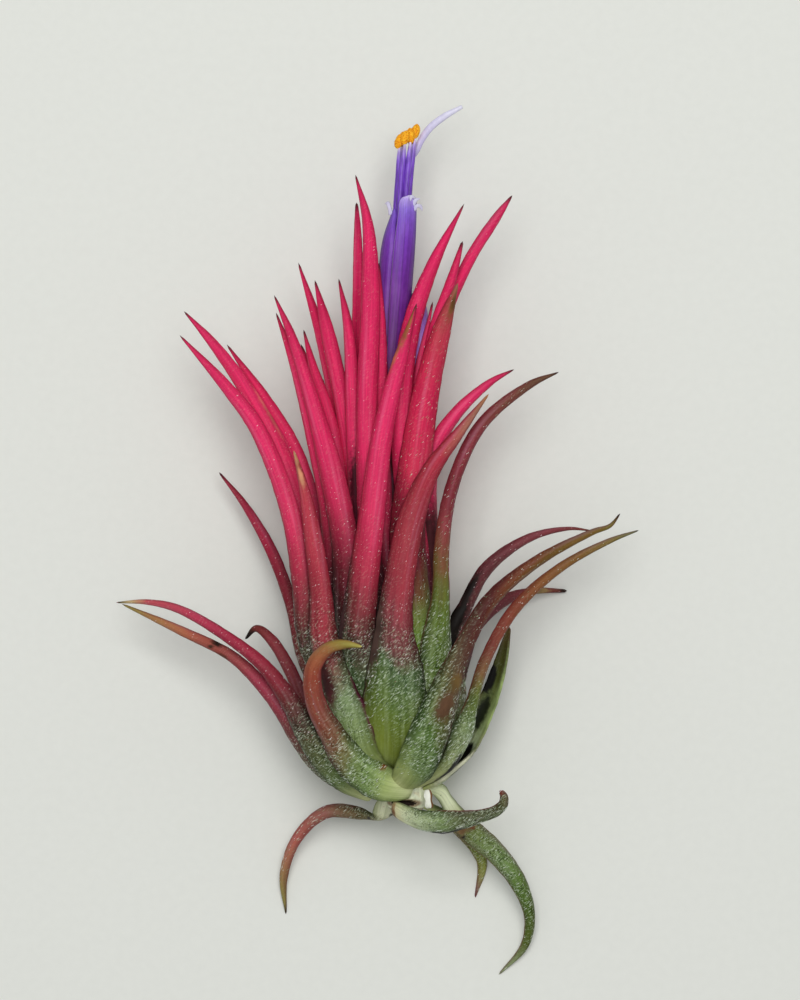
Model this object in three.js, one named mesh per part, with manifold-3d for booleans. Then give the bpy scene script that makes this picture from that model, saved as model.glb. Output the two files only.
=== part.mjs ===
// A fuego air plant in flower, lying on its back leaves on a flat surface.
// Millimetres, +Z up from the surface. +Y runs along the plant, from its base to its flower.
// Every route below is measured from the foot of the stem, which lies at FOOT.
import * as THREE from "three";
import { mergeVertices } from "three/addons/utils/BufferGeometryUtils.js";
import Module from "manifold-3d";

const FOOT = new THREE.Vector3(2.25, -31.35, 11.6);
const GAP = 0.3;
const FINEST = 0.01;
const MERGED = 1e-4;
const ROUGHNESS = 0.6;
const GROUND = { size: 200, depth: 20 };

// One leaf: a loft of bent six-sided sections along its route.
const LEAF = {
  sections: 12,
  thickness: 0.75,
  thinnest: 0.25,
  thinning: 0.45,
  channelRise: 0.6,
  sheathBend: 0.11,
  bladeBend: 0.27,
  bladeStart: 0.2,
  bladeFull: 0.45,
  turnStart: 0.18,
  turnFull: 0.5,
  shoulder: 0.27,
  shoulderRoom: 0.5,
};

// The leaf bases swell into a bulb. Outer leaves sit lowest on the stem and lie furthest from it.
const BULB = {
  outerRadius: 10.3,
  innerRadius: 3.4,
  lowest: 0.8,
  highest: 13.5,
  spacing: 0.9,
  rootRadius: 2.7,
  rootWidth: 4.8,
  flare: 0.66,
  flareRise: 2.4,
  flareWidth: 0.95,
  bellyRise: 6.6,
};

// The stem: its half outline as [radius, height along the plant], and how far its foot leans to the right.
const STEM = {
  outline: [
    [0, -1.9], [1.9, -1.9], [2.4, -1.2], [2.7, 0.5], [2.8, 5], [2.2, 10], [1.7, 15], [1.2, 21], [0.9, 28], [0, 28],
  ],
  sides: 14,
  lean: 1.4,
  leanEnd: 6,
};

// The corolla tube: [x, y, z, outer radius], from the stem's top to its mouth.
const COROLLA = [
  [0, 28.4, 0, 1.2], [-0.5, 38, 0.2, 1.4], [-0.7, 48, 0.6, 1.7], [-0.4, 57, 1.0, 2.05],
  [0.1, 65, 1.3, 2.2], [0.5, 69.4, 1.4, 2.1], [0.85, 72.4, 1.4, 1.85], [0.9, 74.8, 1.4, 1.8],
];
const PETAL = { tipNarrowing: 0.8, count: 3, thickness: 0.6, seam: 106, arc: 111, sides: 5, stations: 9, tip: 0.12 };

// A second flower, still a closed bud: its half outline, and the route of its middle.
const BUD = {
  outline: [[0, 31.6], [0.45, 31.8], [0.7, 38], [1.0, 48], [1.2, 55], [1.2, 60], [0.8, 62.5], [0, 63.5]],
  route: [[1.9, 31.6, 0.6], [2.3, 42, 0.8], [2.9, 52, 1.0], [3.1, 58, 1.1], [2.8, 63.5, 1.2]],
  sides: 9,
};

// Six filaments run as one lobed bundle through the corolla, and part near their tops.
const FILAMENTS = {
  route: [[0.3, 66, 1.35], [0.75, 71, 1.4], [1.0, 75, 1.4], [1.2, 77.6, 1.4]],
  count: 6,
  lobe: 1.1,
  furrow: 0.85,
  steps: 5,
  parting: 76.8,
  ring: 0.68,
  radius: 0.33,
  topSteps: 2,
  sides: 5,
};
const ANTHERS = {
  centres: [
    [0.55, 81.6, 1.7], [1.25, 82.0, 2.1], [1.95, 82.3, 1.7], [2.55, 82.8, 1.3], [1.95, 82.2, 0.7], [0.95, 81.9, 0.9],
  ],
  half: [0.55, 0.95, 0.5],
  lean: -0.18,
  sides: 6,
  rings: 5,
};
const STYLE = {
  route: [
    [1.0, 73, -0.5], [1.3, 76.5, -0.5], [1.9, 79.3, -0.2], [2.7, 80.6, 0.0], [3.3, 81.9, 0.0],
    [4.4, 83.4, 0.2], [6.2, 84.8, 0.4], [8.4, 86.0, 0.6],
  ],
  radius: 0.34,
  steps: 11,
  sides: 5,
};

const TONES = {
  pink: 0xd9306a,
  red: 0xb32a4c,
  maroon: 0x7a3336,
  orange: 0x96593a,
  olive: 0x7b5e34,
  green: 0x6f8148,
  silver: 0x87968a,
  salmon: 0xb97a62,
  bark: 0xb3ab86,
  violet: 0x5f43a8,
  purple: 0x6f4bb0,
  yellow: 0xe39a12,
  pale: 0xcfc8e0,
};

// The five outermost leaves wrap the foot: name, tone, the directions that the inner side faces at the root and
// along the blade, and the whole route as [x, y, z, width].
const OUTER_LEAVES = [
  ["curled", "orange", [0, 0.4, -1], [0.4, 0, -1], [
    [2.0, 0.9, 3.0, 3.2], [-1.2, 1.4, 4.6, 4.8], [-3.7, 2.9, 6.1, 4.9], [-6.1, 5.2, 7.4, 4.2], [-8.0, 8.2, 8.3, 3.3],
    [-9.6, 11.1, 9.0, 2.8], [-10.3, 14.4, 9.8, 2.5], [-9.9, 16.8, 10.6, 2.1], [-8.2, 18.7, 11.4, 1.6],
    [-6.1, 19.2, 11.9, 1.1], [-4.0, 18.9, 12.0, 0.3]]],
  ["front_right_low", "olive", [-0.2, 0.4, -1], [-0.35, 0, -1], [
    [0.8, 1.2, 3.1, 3.4], [2.2, 2.9, 6.4, 5.0], [3.7, 6.6, 9.0, 5.3], [5.6, 11.4, 9.8, 4.6], [8.2, 18.0, 9.5, 2.7],
    [11.7, 24.3, 8.3, 2.1], [17.5, 29.2, 6.2, 1.5], [24.6, 32.9, 3.5, 0.8], [26.8, 33.7, 3.0, 0.5],
    [28.0, 35.2, 3.2, 0.15]]],
  ["left_low", "maroon", [0.5, 0.4, -1], [0.4, 0, -1], [
    [-2.6, 0.3, 1.8, 3.6], [-5.8, 1.9, 3.4, 4.4], [-8.9, 4.6, 4.4, 4.0], [-11.2, 8.2, 4.2, 3.4],
    [-13.3, 12.0, 3.8, 2.6], [-16.2, 16.0, 3.2, 1.9], [-20.2, 19.3, 2.6, 1.5], [-26.9, 23.2, 1.0, 1.1],
    [-31.0, 24.1, -0.6, 0.7], [-35.0, 24.0, -2.4, 0.15]]],
  ["side_left_low", "orange", [0.7, 0.4, -0.6], [0.5, 0, -1], [
    [-2.8, 0.1, 0.2, 3.4], [-6.2, 1.3, 0.8, 4.0], [-9.5, 3.6, 1.3, 3.6], [-12.0, 7.0, 1.4, 3.0],
    [-14.3, 10.8, 1.0, 2.4], [-17.1, 14.2, 0.5, 1.9], [-20.6, 17.4, 0.1, 1.5], [-26.9, 20.5, -1.5, 1.2],
    [-34.4, 23.8, -4.0, 0.2]]],
  ["side_right_low", "green", [-0.9, 0.3, 0.2], [-0.5, 0, 0.85], [
    [3.2, 0.8, 0.0, 3.6], [5.8, 2.1, -0.5, 4.0], [8.4, 4.8, -1.2, 3.8], [10.3, 8.3, -1.8, 3.2],
    [12.0, 12.0, -2.6, 2.7], [13.4, 16.4, -3.4, 1.9], [14.4, 20.9, -4.6, 0.5]]],
];

// The other leaves, from the outermost inwards: name, tone, degrees round the stem, degrees round it that the
// blade turns to, the sheath's width, and the blade's route from above the sheath to the tip.
const LEAVES = [
  ["under_mid", "red", 262, 264, 6.0, [
    [-1.5, 14.0, -11.0, 4.2], [-2.6, 24.0, -11.2, 2.8], [-4.2, 35.0, -11.2, 2.0], [-6.0, 46.0, -10.4, 0.3]]],
  ["right_low", "orange", 33, 58, 4.4, [
    [9.5, 11.2, 5.1, 2.1], [11.3, 17.0, 4.7, 1.6], [15.0, 23.4, 4.2, 1.6], [20.7, 28.5, 3.0, 1.2],
    [26.9, 31.8, 1.0, 0.7], [30.5, 33.1, 0.0, 0.15]]],
  ["left_withered", "maroon", 205, 130, 4.6, [
    [-11.6, 11.6, -3.2, 2.4], [-13.4, 15.6, -3.3, 1.9], [-15.6, 19.2, -3.8, 1.5], [-17.5, 20.7, -4.4, 0.9],
    [-18.9, 19.3, -6.0, 0.2]]],
  ["under_right", "maroon", 290, 285, 6.0, [
    [3.6, 13.0, -10.6, 4.0], [4.4, 22.0, -11.2, 2.6], [4.2, 32.0, -11.2, 1.9], [3.0, 42.0, -10.6, 0.3]]],
  ["right_under", "maroon", 318, 400, 5.0, [
    [8.8, 16.6, -4.4, 2.4], [10.3, 20.7, -5.2, 1.8], [13.9, 24.1, -7.2, 1.6], [17.7, 25.3, -9.4, 0.9],
    [21.9, 25.3, -11.4, 0.4]]],
  ["front_left", "maroon", 131, 108, 7.4, [
    [-7.4, 14.0, 7.6, 4.6], [-8.9, 19.4, 7.8, 3.8], [-9.3, 25.6, 7.6, 2.9], [-10.2, 32.0, 7.5, 2.4],
    [-11.3, 38.4, 7.3, 1.3], [-12.5, 43.0, 7.0, 0.2]]],
  ["under_left", "red", 235, 245, 6.0, [
    [-6.6, 14.0, -9.8, 4.0], [-7.6, 22.0, -10.8, 2.6], [-8.4, 31.0, -11.0, 1.8], [-9.0, 40.0, -10.4, 0.3]]],
  ["front_centre", "red", 90, 90, 8.2, [
    [0.0, 15.5, 9.0, 7.2], [-0.1, 20.6, 9.0, 4.9], [0.4, 26.0, 8.8, 3.9], [2.2, 35.0, 8.7, 3.3],
    [4.5, 40.6, 8.5, 2.3], [7.9, 45.2, 8.1, 1.4], [11.6, 50.0, 7.8, 0.2]]],
  ["left_dark", "maroon", 200, 130, 4.6, [
    [-11.6, 17.0, -3.2, 2.4], [-13.1, 23.4, -4.0, 1.9], [-15.6, 30.2, -5.2, 1.7], [-18.9, 36.0, -6.8, 1.0],
    [-22.3, 40.4, -8.2, 0.15]]],
  ["under_long", "red", 278, 275, 5.6, [
    [0.6, 20.0, -8.9, 4.0], [0.2, 30.0, -9.2, 2.8], [-0.8, 41.0, -9.2, 1.9], [-2.0, 52.0, -8.6, 0.3]]],
  ["right_front", "red", 54, 66, 5.6, [
    [5.3, 19.0, 7.0, 4.4], [5.8, 25.0, 7.0, 2.5], [5.9, 31.0, 6.6, 2.1], [7.2, 38.6, 5.6, 1.8],
    [10.8, 46.2, 4.5, 1.6], [16.8, 51.2, 3.0, 1.0], [20.4, 52.8, 2.4, 0.15]]],
  ["right_maroon", "maroon", 14, 62, 4.6, [
    [7.2, 19.6, 2.2, 2.8], [8.9, 23.6, 2.1, 2.1], [11.6, 28.4, 2.0, 1.8], [16.7, 32.1, 1.5, 1.1],
    [21.6, 33.3, 0.8, 0.5], [24.8, 33.0, 0.2, 0.15]]],
  ["left_outer", "pink", 158, 112, 4.8, [
    [-11.0, 19.0, 5.0, 3.0], [-11.7, 26.6, 5.3, 2.8], [-13.1, 35.2, 5.5, 2.6], [-17.1, 45.6, 5.0, 2.2],
    [-21.0, 50.9, 4.1, 1.6], [-26.8, 57.4, 3.0, 0.15]]],
  ["left_tall", "pink", 172, 112, 4.6, [
    [-9.8, 22.0, 1.8, 3.2], [-11.6, 33.6, 2.2, 2.8], [-14.4, 42.3, 2.6, 2.8], [-18.4, 50.2, 2.6, 2.1],
    [-22.6, 56.2, 2.2, 1.3], [-26.3, 60.4, 2.0, 0.15]]],
  ["front_tall", "pink", 116, 100, 6.4, [
    [-4.9, 18.0, 7.3, 5.0], [-4.2, 25.4, 7.4, 4.1], [-3.0, 34.4, 7.3, 3.4], [-1.7, 44.5, 7.1, 2.7],
    [0.6, 54.2, 6.9, 1.8], [2.7, 61.2, 6.6, 0.2]]],
  ["back_left_low", "pink", 222, 250, 4.8, [
    [-6.0, 22.0, -5.6, 3.2], [-6.8, 33.0, -5.4, 2.4], [-7.6, 44.0, -4.4, 1.9], [-9.3, 52.4, -3.6, 0.3]]],
  ["right_pink", "pink", 12, 68, 4.4, [
    [6.0, 22.0, 1.8, 3.0], [4.4, 33.0, 2.9, 2.4], [4.8, 42.6, 3.3, 2.2], [7.6, 47.5, 3.6, 1.7],
    [11.9, 51.5, 3.8, 0.9], [14.8, 53.1, 3.9, 0.15]]],
  ["left_front_tall", "pink", 143, 106, 5.2, [
    [-6.0, 22.0, 5.2, 4.4], [-6.3, 31.0, 5.4, 3.6], [-7.8, 39.4, 5.3, 3.3], [-10.2, 48.6, 5.0, 2.1],
    [-12.8, 57.0, 4.6, 1.2], [-15.0, 62.3, 4.4, 0.15]]],
  ["left_behind_tall", "pink", 160, 112, 4.4, [
    [-8.0, 22.0, 2.4, 3.0], [-8.3, 34.4, 2.4, 2.4], [-10.2, 44.4, 2.8, 2.0], [-12.4, 53.2, 3.0, 1.4],
    [-14.8, 60.2, 3.1, 0.15]]],
  ["right_tall", "pink", 72, 84, 5.6, [
    [2.4, 22.0, 6.6, 4.8], [1.6, 32.0, 5.7, 4.5], [2.5, 41.0, 5.7, 4.1], [4.0, 50.6, 5.7, 3.3],
    [6.0, 58.5, 5.3, 2.2], [7.8, 63.8, 5.0, 0.2]]],
  ["left_inner_fan", "pink", 184, 118, 4.4, [
    [-8.0, 24.0, -1.4, 3.2], [-9.8, 33.2, -0.9, 2.6], [-12.4, 42.6, -0.4, 2.0], [-16.3, 49.4, 0.2, 1.6],
    [-21.0, 56.3, 0.8, 0.15]]],
  ["back_right_low", "pink", 315, 290, 4.6, [
    [4.2, 24.0, -6.0, 3.2], [4.4, 36.0, -6.4, 2.2], [4.5, 48.0, -6.4, 0.3]]],
  ["left_mid", "pink", 172, 112, 4.0, [
    [-5.0, 26.0, 0.8, 2.8], [-5.2, 38.0, 0.8, 2.4], [-6.6, 48.4, 1.0, 2.2], [-8.4, 57.4, 1.3, 1.9],
    [-10.0, 64.3, 1.6, 0.15]]],
  ["left_fan_inner", "pink", 176, 116, 3.8, [
    [-6.4, 27.0, 0.4, 2.4], [-6.7, 37.0, 0.4, 2.2], [-8.4, 47.5, 0.8, 1.8], [-10.2, 53.2, 1.2, 1.2],
    [-11.4, 58.1, 1.6, 0.15]]],
  ["left_back_tall", "pink", 192, 120, 4.0, [
    [-5.6, 28.0, -2.6, 2.8], [-6.6, 43.0, -2.4, 2.2], [-9.2, 56.8, -1.6, 1.7], [-12.1, 66.6, -0.9, 0.15]]],
  ["right_back_tall", "pink", 12, 68, 4.2, [
    [4.6, 28.0, 0.4, 2.8], [3.8, 44.0, 0.8, 2.4], [5.2, 56.6, 1.2, 1.9], [9.2, 66.5, 1.8, 1.5],
    [12.6, 71.9, 2.2, 1.2], [14.6, 74.8, 2.5, 0.2]]],
  ["back_left_mid", "pink", 248, 258, 4.2, [
    [-2.6, 28.0, -5.0, 2.8], [-3.8, 44.0, -5.6, 2.0], [-5.0, 58.0, -5.8, 0.3]]],
  ["right_mid", "pink", 38, 74, 4.0, [
    [3.6, 30.0, 3.0, 2.6], [3.5, 46.0, 3.1, 2.2], [4.9, 57.4, 3.4, 1.7], [7.0, 64.0, 3.8, 1.3],
    [8.4, 69.0, 4.2, 0.3]]],
  ["back_right_mid", "pink", 298, 284, 4.2, [
    [1.8, 30.0, -4.4, 2.8], [2.0, 46.0, -5.0, 1.9], [2.0, 60.0, -5.0, 0.3]]],
  ["left_centre", "pink", 158, 110, 3.8, [
    [-4.6, 30.0, 2.6, 2.4], [-5.3, 46.0, 2.9, 2.0], [-5.8, 57.6, 3.1, 1.4], [-7.0, 64.4, 3.3, 0.15]]],
  ["crown", "pink", 122, 100, 4.2, [
    [-3.2, 30.0, 4.5, 3.0], [-3.6, 46.0, 4.8, 2.7], [-3.1, 62.0, 4.8, 2.4], [-3.4, 71.0, 4.9, 1.4],
    [-4.9, 77.2, 5.2, 0.15]]],
  ["small_fan_tip", "pink", 188, 122, 3.4, [
    [-4.4, 32.0, -1.4, 2.0], [-8.0, 46.8, -1.2, 1.6], [-11.8, 56.4, -0.6, 0.15]]],
  ["back_tall", "pink", 270, 270, 3.8, [
    [-1.0, 32.0, -3.8, 2.6], [-1.4, 48.0, -4.2, 2.0], [-1.6, 64.0, -4.2, 0.3]]],
  ["right_inner_tall", "pink", 62, 80, 4.0, [
    [1.8, 32.0, 3.9, 2.8], [0.8, 47.0, 4.2, 2.6], [2.0, 58.0, 4.2, 2.4], [4.8, 66.2, 4.0, 1.6],
    [8.6, 73.7, 3.8, 0.15]]],
  ["back_left_high", "pink", 222, 250, 3.6, [
    [-2.8, 33.0, -2.6, 2.4], [-4.7, 49.4, -0.6, 1.8], [-4.7, 62.0, 0.6, 1.4], [-4.7, 70.0, 0.9, 1.0],
    [-4.8, 74.0, 1.0, 0.3]]],
  ["right_low_tip", "pink", 335, 300, 3.6, [
    [3.2, 34.0, -2.0, 2.4], [3.4, 46.0, -2.2, 1.8], [3.9, 57.0, -2.2, 0.3]]],
  ["back_high", "pink", 300, 285, 3.4, [
    [1.2, 35.0, -3.0, 2.2], [1.2, 50.0, -3.2, 1.6], [1.4, 64.0, -3.2, 0.3]]],
  ["right_small_tip", "pink", 20, 70, 3.4, [
    [2.9, 36.0, 1.2, 2.0], [2.6, 50.0, 2.0, 1.4], [4.7, 61.6, 2.8, 0.2]]],
  ["front_inner", "pink", 100, 96, 3.6, [
    [-1.6, 38.0, 3.0, 2.4], [-1.9, 50.0, 3.1, 2.0], [-1.8, 58.0, 3.2, 1.4], [-2.0, 66.4, 3.4, 0.2]]],
];

// Four old leaves hang from the foot of the stem: as the outermost ones, with the same columns.
const BASAL_LEAVES = [
  ["droop_left", "salmon", [0, 1, 0], [0.3, 0.2, -0.9], [
    [-1.0, -0.6, -1.6, 2.6], [-2.6, -2.9, -3.4, 3.2], [-5.0, -2.5, -4.2, 2.2], [-8.6, -2.5, -5.4, 1.7],
    [-12.4, -5.9, -7.8, 1.4], [-14.2, -11.0, -10.2, 1.1], [-13.9, -15.9, -11.6, 0.15]]],
  ["silver_front", "silver", [0, 0.6, -0.8], [0, 0.3, -1], [
    [0.3, -1.3, 1.6, 1.6], [1.9, -2.4, 3.2, 2.2], [3.7, -3.1, 4.4, 2.7], [5.8, -3.2, 5.2, 2.7],
    [8.2, -2.9, 5.4, 2.3], [10.5, -2.4, 5.2, 1.8], [12.4, -1.8, 5.0, 1.5], [13.4, -0.9, 4.9, 1.3],
    [13.5, 0.1, 5.0, 1.0], [13.0, 0.9, 5.2, 0.5]]],
  ["droop_right", "green", [-0.6, 0.6, -0.4], [-0.3, 0.2, -0.9], [
    [2.8, 1.0, -1.6, 1.8], [5.4, 0.5, -2.6, 1.9], [6.6, -1.1, -3.4, 1.9], [7.8, -3.0, -4.2, 2.6],
    [9.7, -5.0, -4.8, 3.1], [12.9, -7.8, -5.4, 2.7], [15.7, -11.6, -6.6, 2.2], [17.1, -15.8, -8.4, 1.5],
    [16.5, -19.8, -10.2, 1.1], [13.2, -23.6, -11.6, 0.15]]],
  ["droop_short", "silver", [0, 1, 0], [-0.3, 0.3, -0.9], [
    [1.6, -0.6, -2.4, 2.2], [5.2, -2.4, -7.0, 2.2], [9.0, -5.6, -9.8, 2.0], [11.1, -9.2, -11.0, 1.4],
    [10.2, -13.8, -11.6, 0.15]]],
];

const wasm = await Module();
wasm.setup();

const plant = new THREE.Group();
plant.position.copy(FOOT);

const mix = (from, to, share) => from + (to - from) * share;
const point = ([x, y, z]) => new THREE.Vector3(x, y, z);

// Turns a closed geometry into a solid that can be joined and cut.
function solidOf(geometry) {
  const bare = geometry.clone();
  bare.deleteAttribute("normal");
  bare.deleteAttribute("uv");
  const merged = mergeVertices(bare, MERGED);
  const triVerts = [];
  for (let start = 0; start < merged.index.count; start += 3) {
    const [a, b, c] = merged.index.array.slice(start, start + 3);
    if (a !== b && b !== c && c !== a) triVerts.push(a, b, c);
  }
  return new wasm.Manifold(new wasm.Mesh({
    numProp: 3,
    vertProperties: new Float32Array(merged.attributes.position.array),
    triVerts: new Uint32Array(triVerts),
  }));
}

function geometryOf(solid) {
  const mesh = solid.getMesh();
  const geometry = new THREE.BufferGeometry();
  geometry.setAttribute("position", new THREE.BufferAttribute(mesh.vertProperties, 3));
  geometry.setIndex(new THREE.BufferAttribute(mesh.triVerts, 1));
  geometry.computeVertexNormals();
  return geometry;
}

// A cut can leave scraps beside the piece. The piece is the largest body.
function largestBody(solid) {
  const bodies = solid.decompose();
  return bodies.reduce((best, body) => (body.volume() > best.volume() ? body : best));
}

// A route is a smooth curve with a width at each of its points.
function makeRoute(points) {
  const curve = new THREE.CatmullRomCurve3(points.map(point), false, "centripetal");
  const widths = points.map((entry) => entry[3]);
  const widthAt = (share) => {
    const place = share * (widths.length - 1);
    const index = Math.min(Math.floor(place), widths.length - 2);
    return mix(widths[index], widths[index + 1], place - index);
  };
  return { curve, widthAt };
}

// The sheath leaves the stem almost square to it, then rises as part of the bulb.
function sheathPoints(azimuth, width, rank) {
  const age = rank / (LEAVES.length - 1);
  const around = THREE.MathUtils.degToRad(azimuth);
  const height = mix(BULB.lowest, BULB.highest, age ** BULB.spacing);
  const belly = mix(BULB.outerRadius, BULB.innerRadius, age);
  const flare = mix(BULB.rootRadius, belly, BULB.flare);
  const at = (radius, rise, wide) => [
    radius * Math.cos(around), height + rise, radius * Math.sin(around), wide,
  ];
  return [
    at(BULB.rootRadius, 0, BULB.rootWidth),
    at(flare, BULB.flareRise, width * BULB.flareWidth),
    at(belly, BULB.bellyRise, width),
  ];
}

// Corners of one section, as [across, inwards]: the outer face, then the channel's face back again.
// A leaf's edges are sharp. The room round it is as wide at its edges as elsewhere.
function leafSection(width, bend, thickness, room) {
  const edge = width / 2 + room;
  const shoulder = width * LEAF.shoulder + LEAF.shoulderRoom * room;
  const rise = bend * width * LEAF.channelRise;
  const floor = rise - bend * width;
  const outer = floor - thickness / 2 - room;
  const inner = floor + thickness / 2 + room;
  return [
    [-edge, rise - room], [-shoulder, outer], [shoulder, outer], [edge, rise - room],
    [edge, rise + room], [shoulder, inner], [-shoulder, inner], [-edge, rise + room],
  ];
}

// Lofts a leaf, with that much room round it. Its inner side turns from the root's direction to the blade's.
function leafGeometry({ points, rootInwards, bladeInwards }, room) {
  const { curve, widthAt } = makeRoute(points);
  const positions = [];
  const corners = 8;
  const last = LEAF.sections - 1;
  for (let section = 0; section < last; section += 1) {
    const share = section / last;
    const centre = curve.getPoint(share);
    const tangent = curve.getTangent(share);
    const turned = THREE.MathUtils.smoothstep(share, LEAF.turnStart, LEAF.turnFull);
    const normal = rootInwards.clone().lerp(bladeInwards, turned).projectOnPlane(tangent).normalize();
    const across = new THREE.Vector3().crossVectors(tangent, normal);
    const width = widthAt(share);
    const blade = THREE.MathUtils.smoothstep(share, LEAF.bladeStart, LEAF.bladeFull);
    const bend = mix(LEAF.sheathBend, LEAF.bladeBend, blade);
    const thickness = Math.min(LEAF.thickness, LEAF.thinnest + LEAF.thinning * width);
    if (section === 0) centre.addScaledVector(tangent, -room);
    for (const [sideways, inward] of leafSection(width, bend, thickness, room)) {
      const corner = centre.clone().addScaledVector(across, sideways).addScaledVector(normal, inward);
      positions.push(corner.x, corner.y, corner.z);
    }
  }
  const tip = curve.getPoint(1).addScaledVector(curve.getTangent(1), 2 * room);
  positions.push(tip.x, tip.y, tip.z);

  const faces = [];
  for (let ring = 0; ring < last - 1; ring += 1) {
    for (let corner = 0; corner < corners; corner += 1) {
      const next = (corner + 1) % corners;
      const [a, b] = [ring * corners + corner, ring * corners + next];
      const [c, d] = [b + corners, a + corners];
      // Both faces of the blade are split the same way, so that they can't cross.
      if (corner < 3) faces.push(a, c, b, a, d, c);
      else faces.push(a, d, b, b, d, c);
    }
  }
  const end = (last - 1) * corners;
  for (let corner = 0; corner < corners; corner += 1) {
    faces.push(end + corner, end + corners, end + ((corner + 1) % corners));
  }
  faces.push(0, 1, 7, 1, 6, 7, 1, 2, 6, 2, 5, 6, 2, 3, 5, 3, 4, 5);

  const geometry = new THREE.BufferGeometry();
  geometry.setAttribute("position", new THREE.Float32BufferAttribute(positions, 3));
  geometry.setIndex(faces);
  return geometry;
}

// A rod along a route, with radii that repeat round its section.
function rodGeometry(points, radii, sides, steps) {
  const outline = new THREE.Shape();
  for (let side = 0; side < sides; side += 1) {
    const turn = (2 * Math.PI * side) / sides;
    const radius = radii[side % radii.length];
    const [x, y] = [radius * Math.cos(turn), radius * Math.sin(turn)];
    if (side === 0) outline.moveTo(x, y);
    else outline.lineTo(x, y);
  }
  outline.closePath();
  const extrudePath = new THREE.CatmullRomCurve3(points, false, "centripetal");
  return new THREE.ExtrudeGeometry(outline, { steps, extrudePath, bevelEnabled: false });
}

// One petal: a strip of the corolla's wall, rounded off at its free end.
function petalGeometry(index, room) {
  const curve = new THREE.CatmullRomCurve3(COROLLA.map(point), false, "centripetal");
  const { sides, stations } = PETAL;
  const middle = PETAL.seam - PETAL.arc / 2 - (index * 360) / PETAL.count;
  const positions = [];
  for (let station = 0; station <= stations; station += 1) {
    const share = station / stations;
    const centre = curve.getPoint(share);
    const place = share * (COROLLA.length - 1);
    const before = Math.min(Math.floor(place), COROLLA.length - 2);
    const radius = mix(COROLLA[before][3], COROLLA[before + 1][3], place - before);
    const pastTip = Math.max(0, (share - 1 + PETAL.tip) / PETAL.tip);
    const half = (PETAL.arc / 2) * Math.sqrt(1 - PETAL.tipNarrowing * pastTip ** 2);
    for (const wall of [radius + room, radius - PETAL.thickness - room]) {
      for (let side = 0; side <= sides; side += 1) {
        const turn = THREE.MathUtils.degToRad(middle + half * ((2 * side) / sides - 1));
        positions.push(centre.x + wall * Math.cos(turn), centre.y, centre.z + wall * Math.sin(turn));
      }
    }
  }

  const row = sides + 1;
  const ring = 2 * row;
  const top = stations * ring;
  const faces = [];
  for (let step = 0; step < ring; step += 1) {
    // The outer row is walked forwards and the inner row back again.
    const cornerAt = (place) => (place < row ? place : ring + row - 1 - place);
    const [a, b] = [cornerAt(step), cornerAt((step + 1) % ring)];
    for (let start = 0; start < top; start += ring) {
      faces.push(start + a, start + ring + b, start + b, start + a, start + ring + a, start + ring + b);
    }
  }
  for (let side = 0; side < sides; side += 1) {
    const [a, b, c, d] = [side, side + 1, row + side + 1, row + side];
    faces.push(a, b, c, a, c, d, top + a, top + c, top + b, top + a, top + d, top + c);
  }
  const geometry = new THREE.BufferGeometry();
  geometry.setAttribute("position", new THREE.Float32BufferAttribute(positions, 3));
  geometry.setIndex(faces);
  return geometry;
}

// The stem, with that much room round it. Its foot leans to the right.
function stemGeometry(room) {
  const last = STEM.outline.length - 1;
  const outline = STEM.outline.map(([radius, height], index) => {
    let end = 0;
    if (index < 2) end = -room;
    if (index > last - 2) end = room;
    return new THREE.Vector2(radius > 0 ? radius + room : 0, height + end);
  });
  const geometry = new THREE.LatheGeometry(outline, STEM.sides);
  const positions = geometry.attributes.position;
  for (let index = 0; index < positions.count; index += 1) {
    const lean = STEM.lean * (1 - THREE.MathUtils.smoothstep(positions.getY(index), 0, STEM.leanEnd));
    positions.setX(index, positions.getX(index) + lean);
  }
  return geometry;
}

// The bud: its outline turned about an upright axis, then bent to its route.
function budGeometry(room) {
  const outline = BUD.outline.map(([radius, height], index) => {
    const end = Math.sign(index - 0.5) * (radius > 0 ? 0 : room);
    return new THREE.Vector2(radius > 0 ? radius + room : 0, height + end);
  });
  const geometry = new THREE.LatheGeometry(outline, BUD.sides);
  const curve = new THREE.CatmullRomCurve3(BUD.route.map(point), false, "centripetal");
  const positions = geometry.attributes.position;
  const [low, high] = [BUD.outline[0][1], BUD.outline[BUD.outline.length - 1][1]];
  for (let index = 0; index < positions.count; index += 1) {
    const height = positions.getY(index);
    const centre = curve.getPoint(THREE.MathUtils.clamp((height - low) / (high - low), 0, 1));
    positions.setXYZ(index, positions.getX(index) + centre.x, height, positions.getZ(index) + centre.z);
  }
  return geometry;
}

function filamentSolid(room) {
  const route = FILAMENTS.route.map(point);
  const radii = [FILAMENTS.lobe + room, FILAMENTS.furrow + room];
  let bundle = solidOf(rodGeometry(route, radii, 2 * FILAMENTS.count, FILAMENTS.steps));
  const middle = route[route.length - 1];
  ANTHERS.centres.map(point).forEach((anther, index) => {
    const turn = (2 * Math.PI * (0.5 - index / FILAMENTS.count));
    const root = new THREE.Vector3(
      middle.x + FILAMENTS.ring * Math.cos(turn),
      FILAMENTS.parting,
      middle.z + FILAMENTS.ring * Math.sin(turn),
    );
    const seat = anther.clone().setY(anther.y - ANTHERS.half[1] / 2);
    const top = rodGeometry([root, seat], [FILAMENTS.radius + room], FILAMENTS.sides, FILAMENTS.topSteps);
    bundle = bundle.add(solidOf(top));
  });
  return bundle;
}

// The six anthers lie against one another on top of the filaments.
function antherSolid(room) {
  const [x, y, z] = ANTHERS.half.map((half) => half + room);
  const anthers = ANTHERS.centres.map((centre) => {
    const anther = new THREE.SphereGeometry(1, ANTHERS.sides, ANTHERS.rings);
    anther.scale(x, y, z);
    anther.rotateZ(ANTHERS.lean);
    anther.translate(...centre);
    return solidOf(anther);
  });
  return anthers.reduce((cluster, anther) => cluster.add(anther));
}

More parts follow.
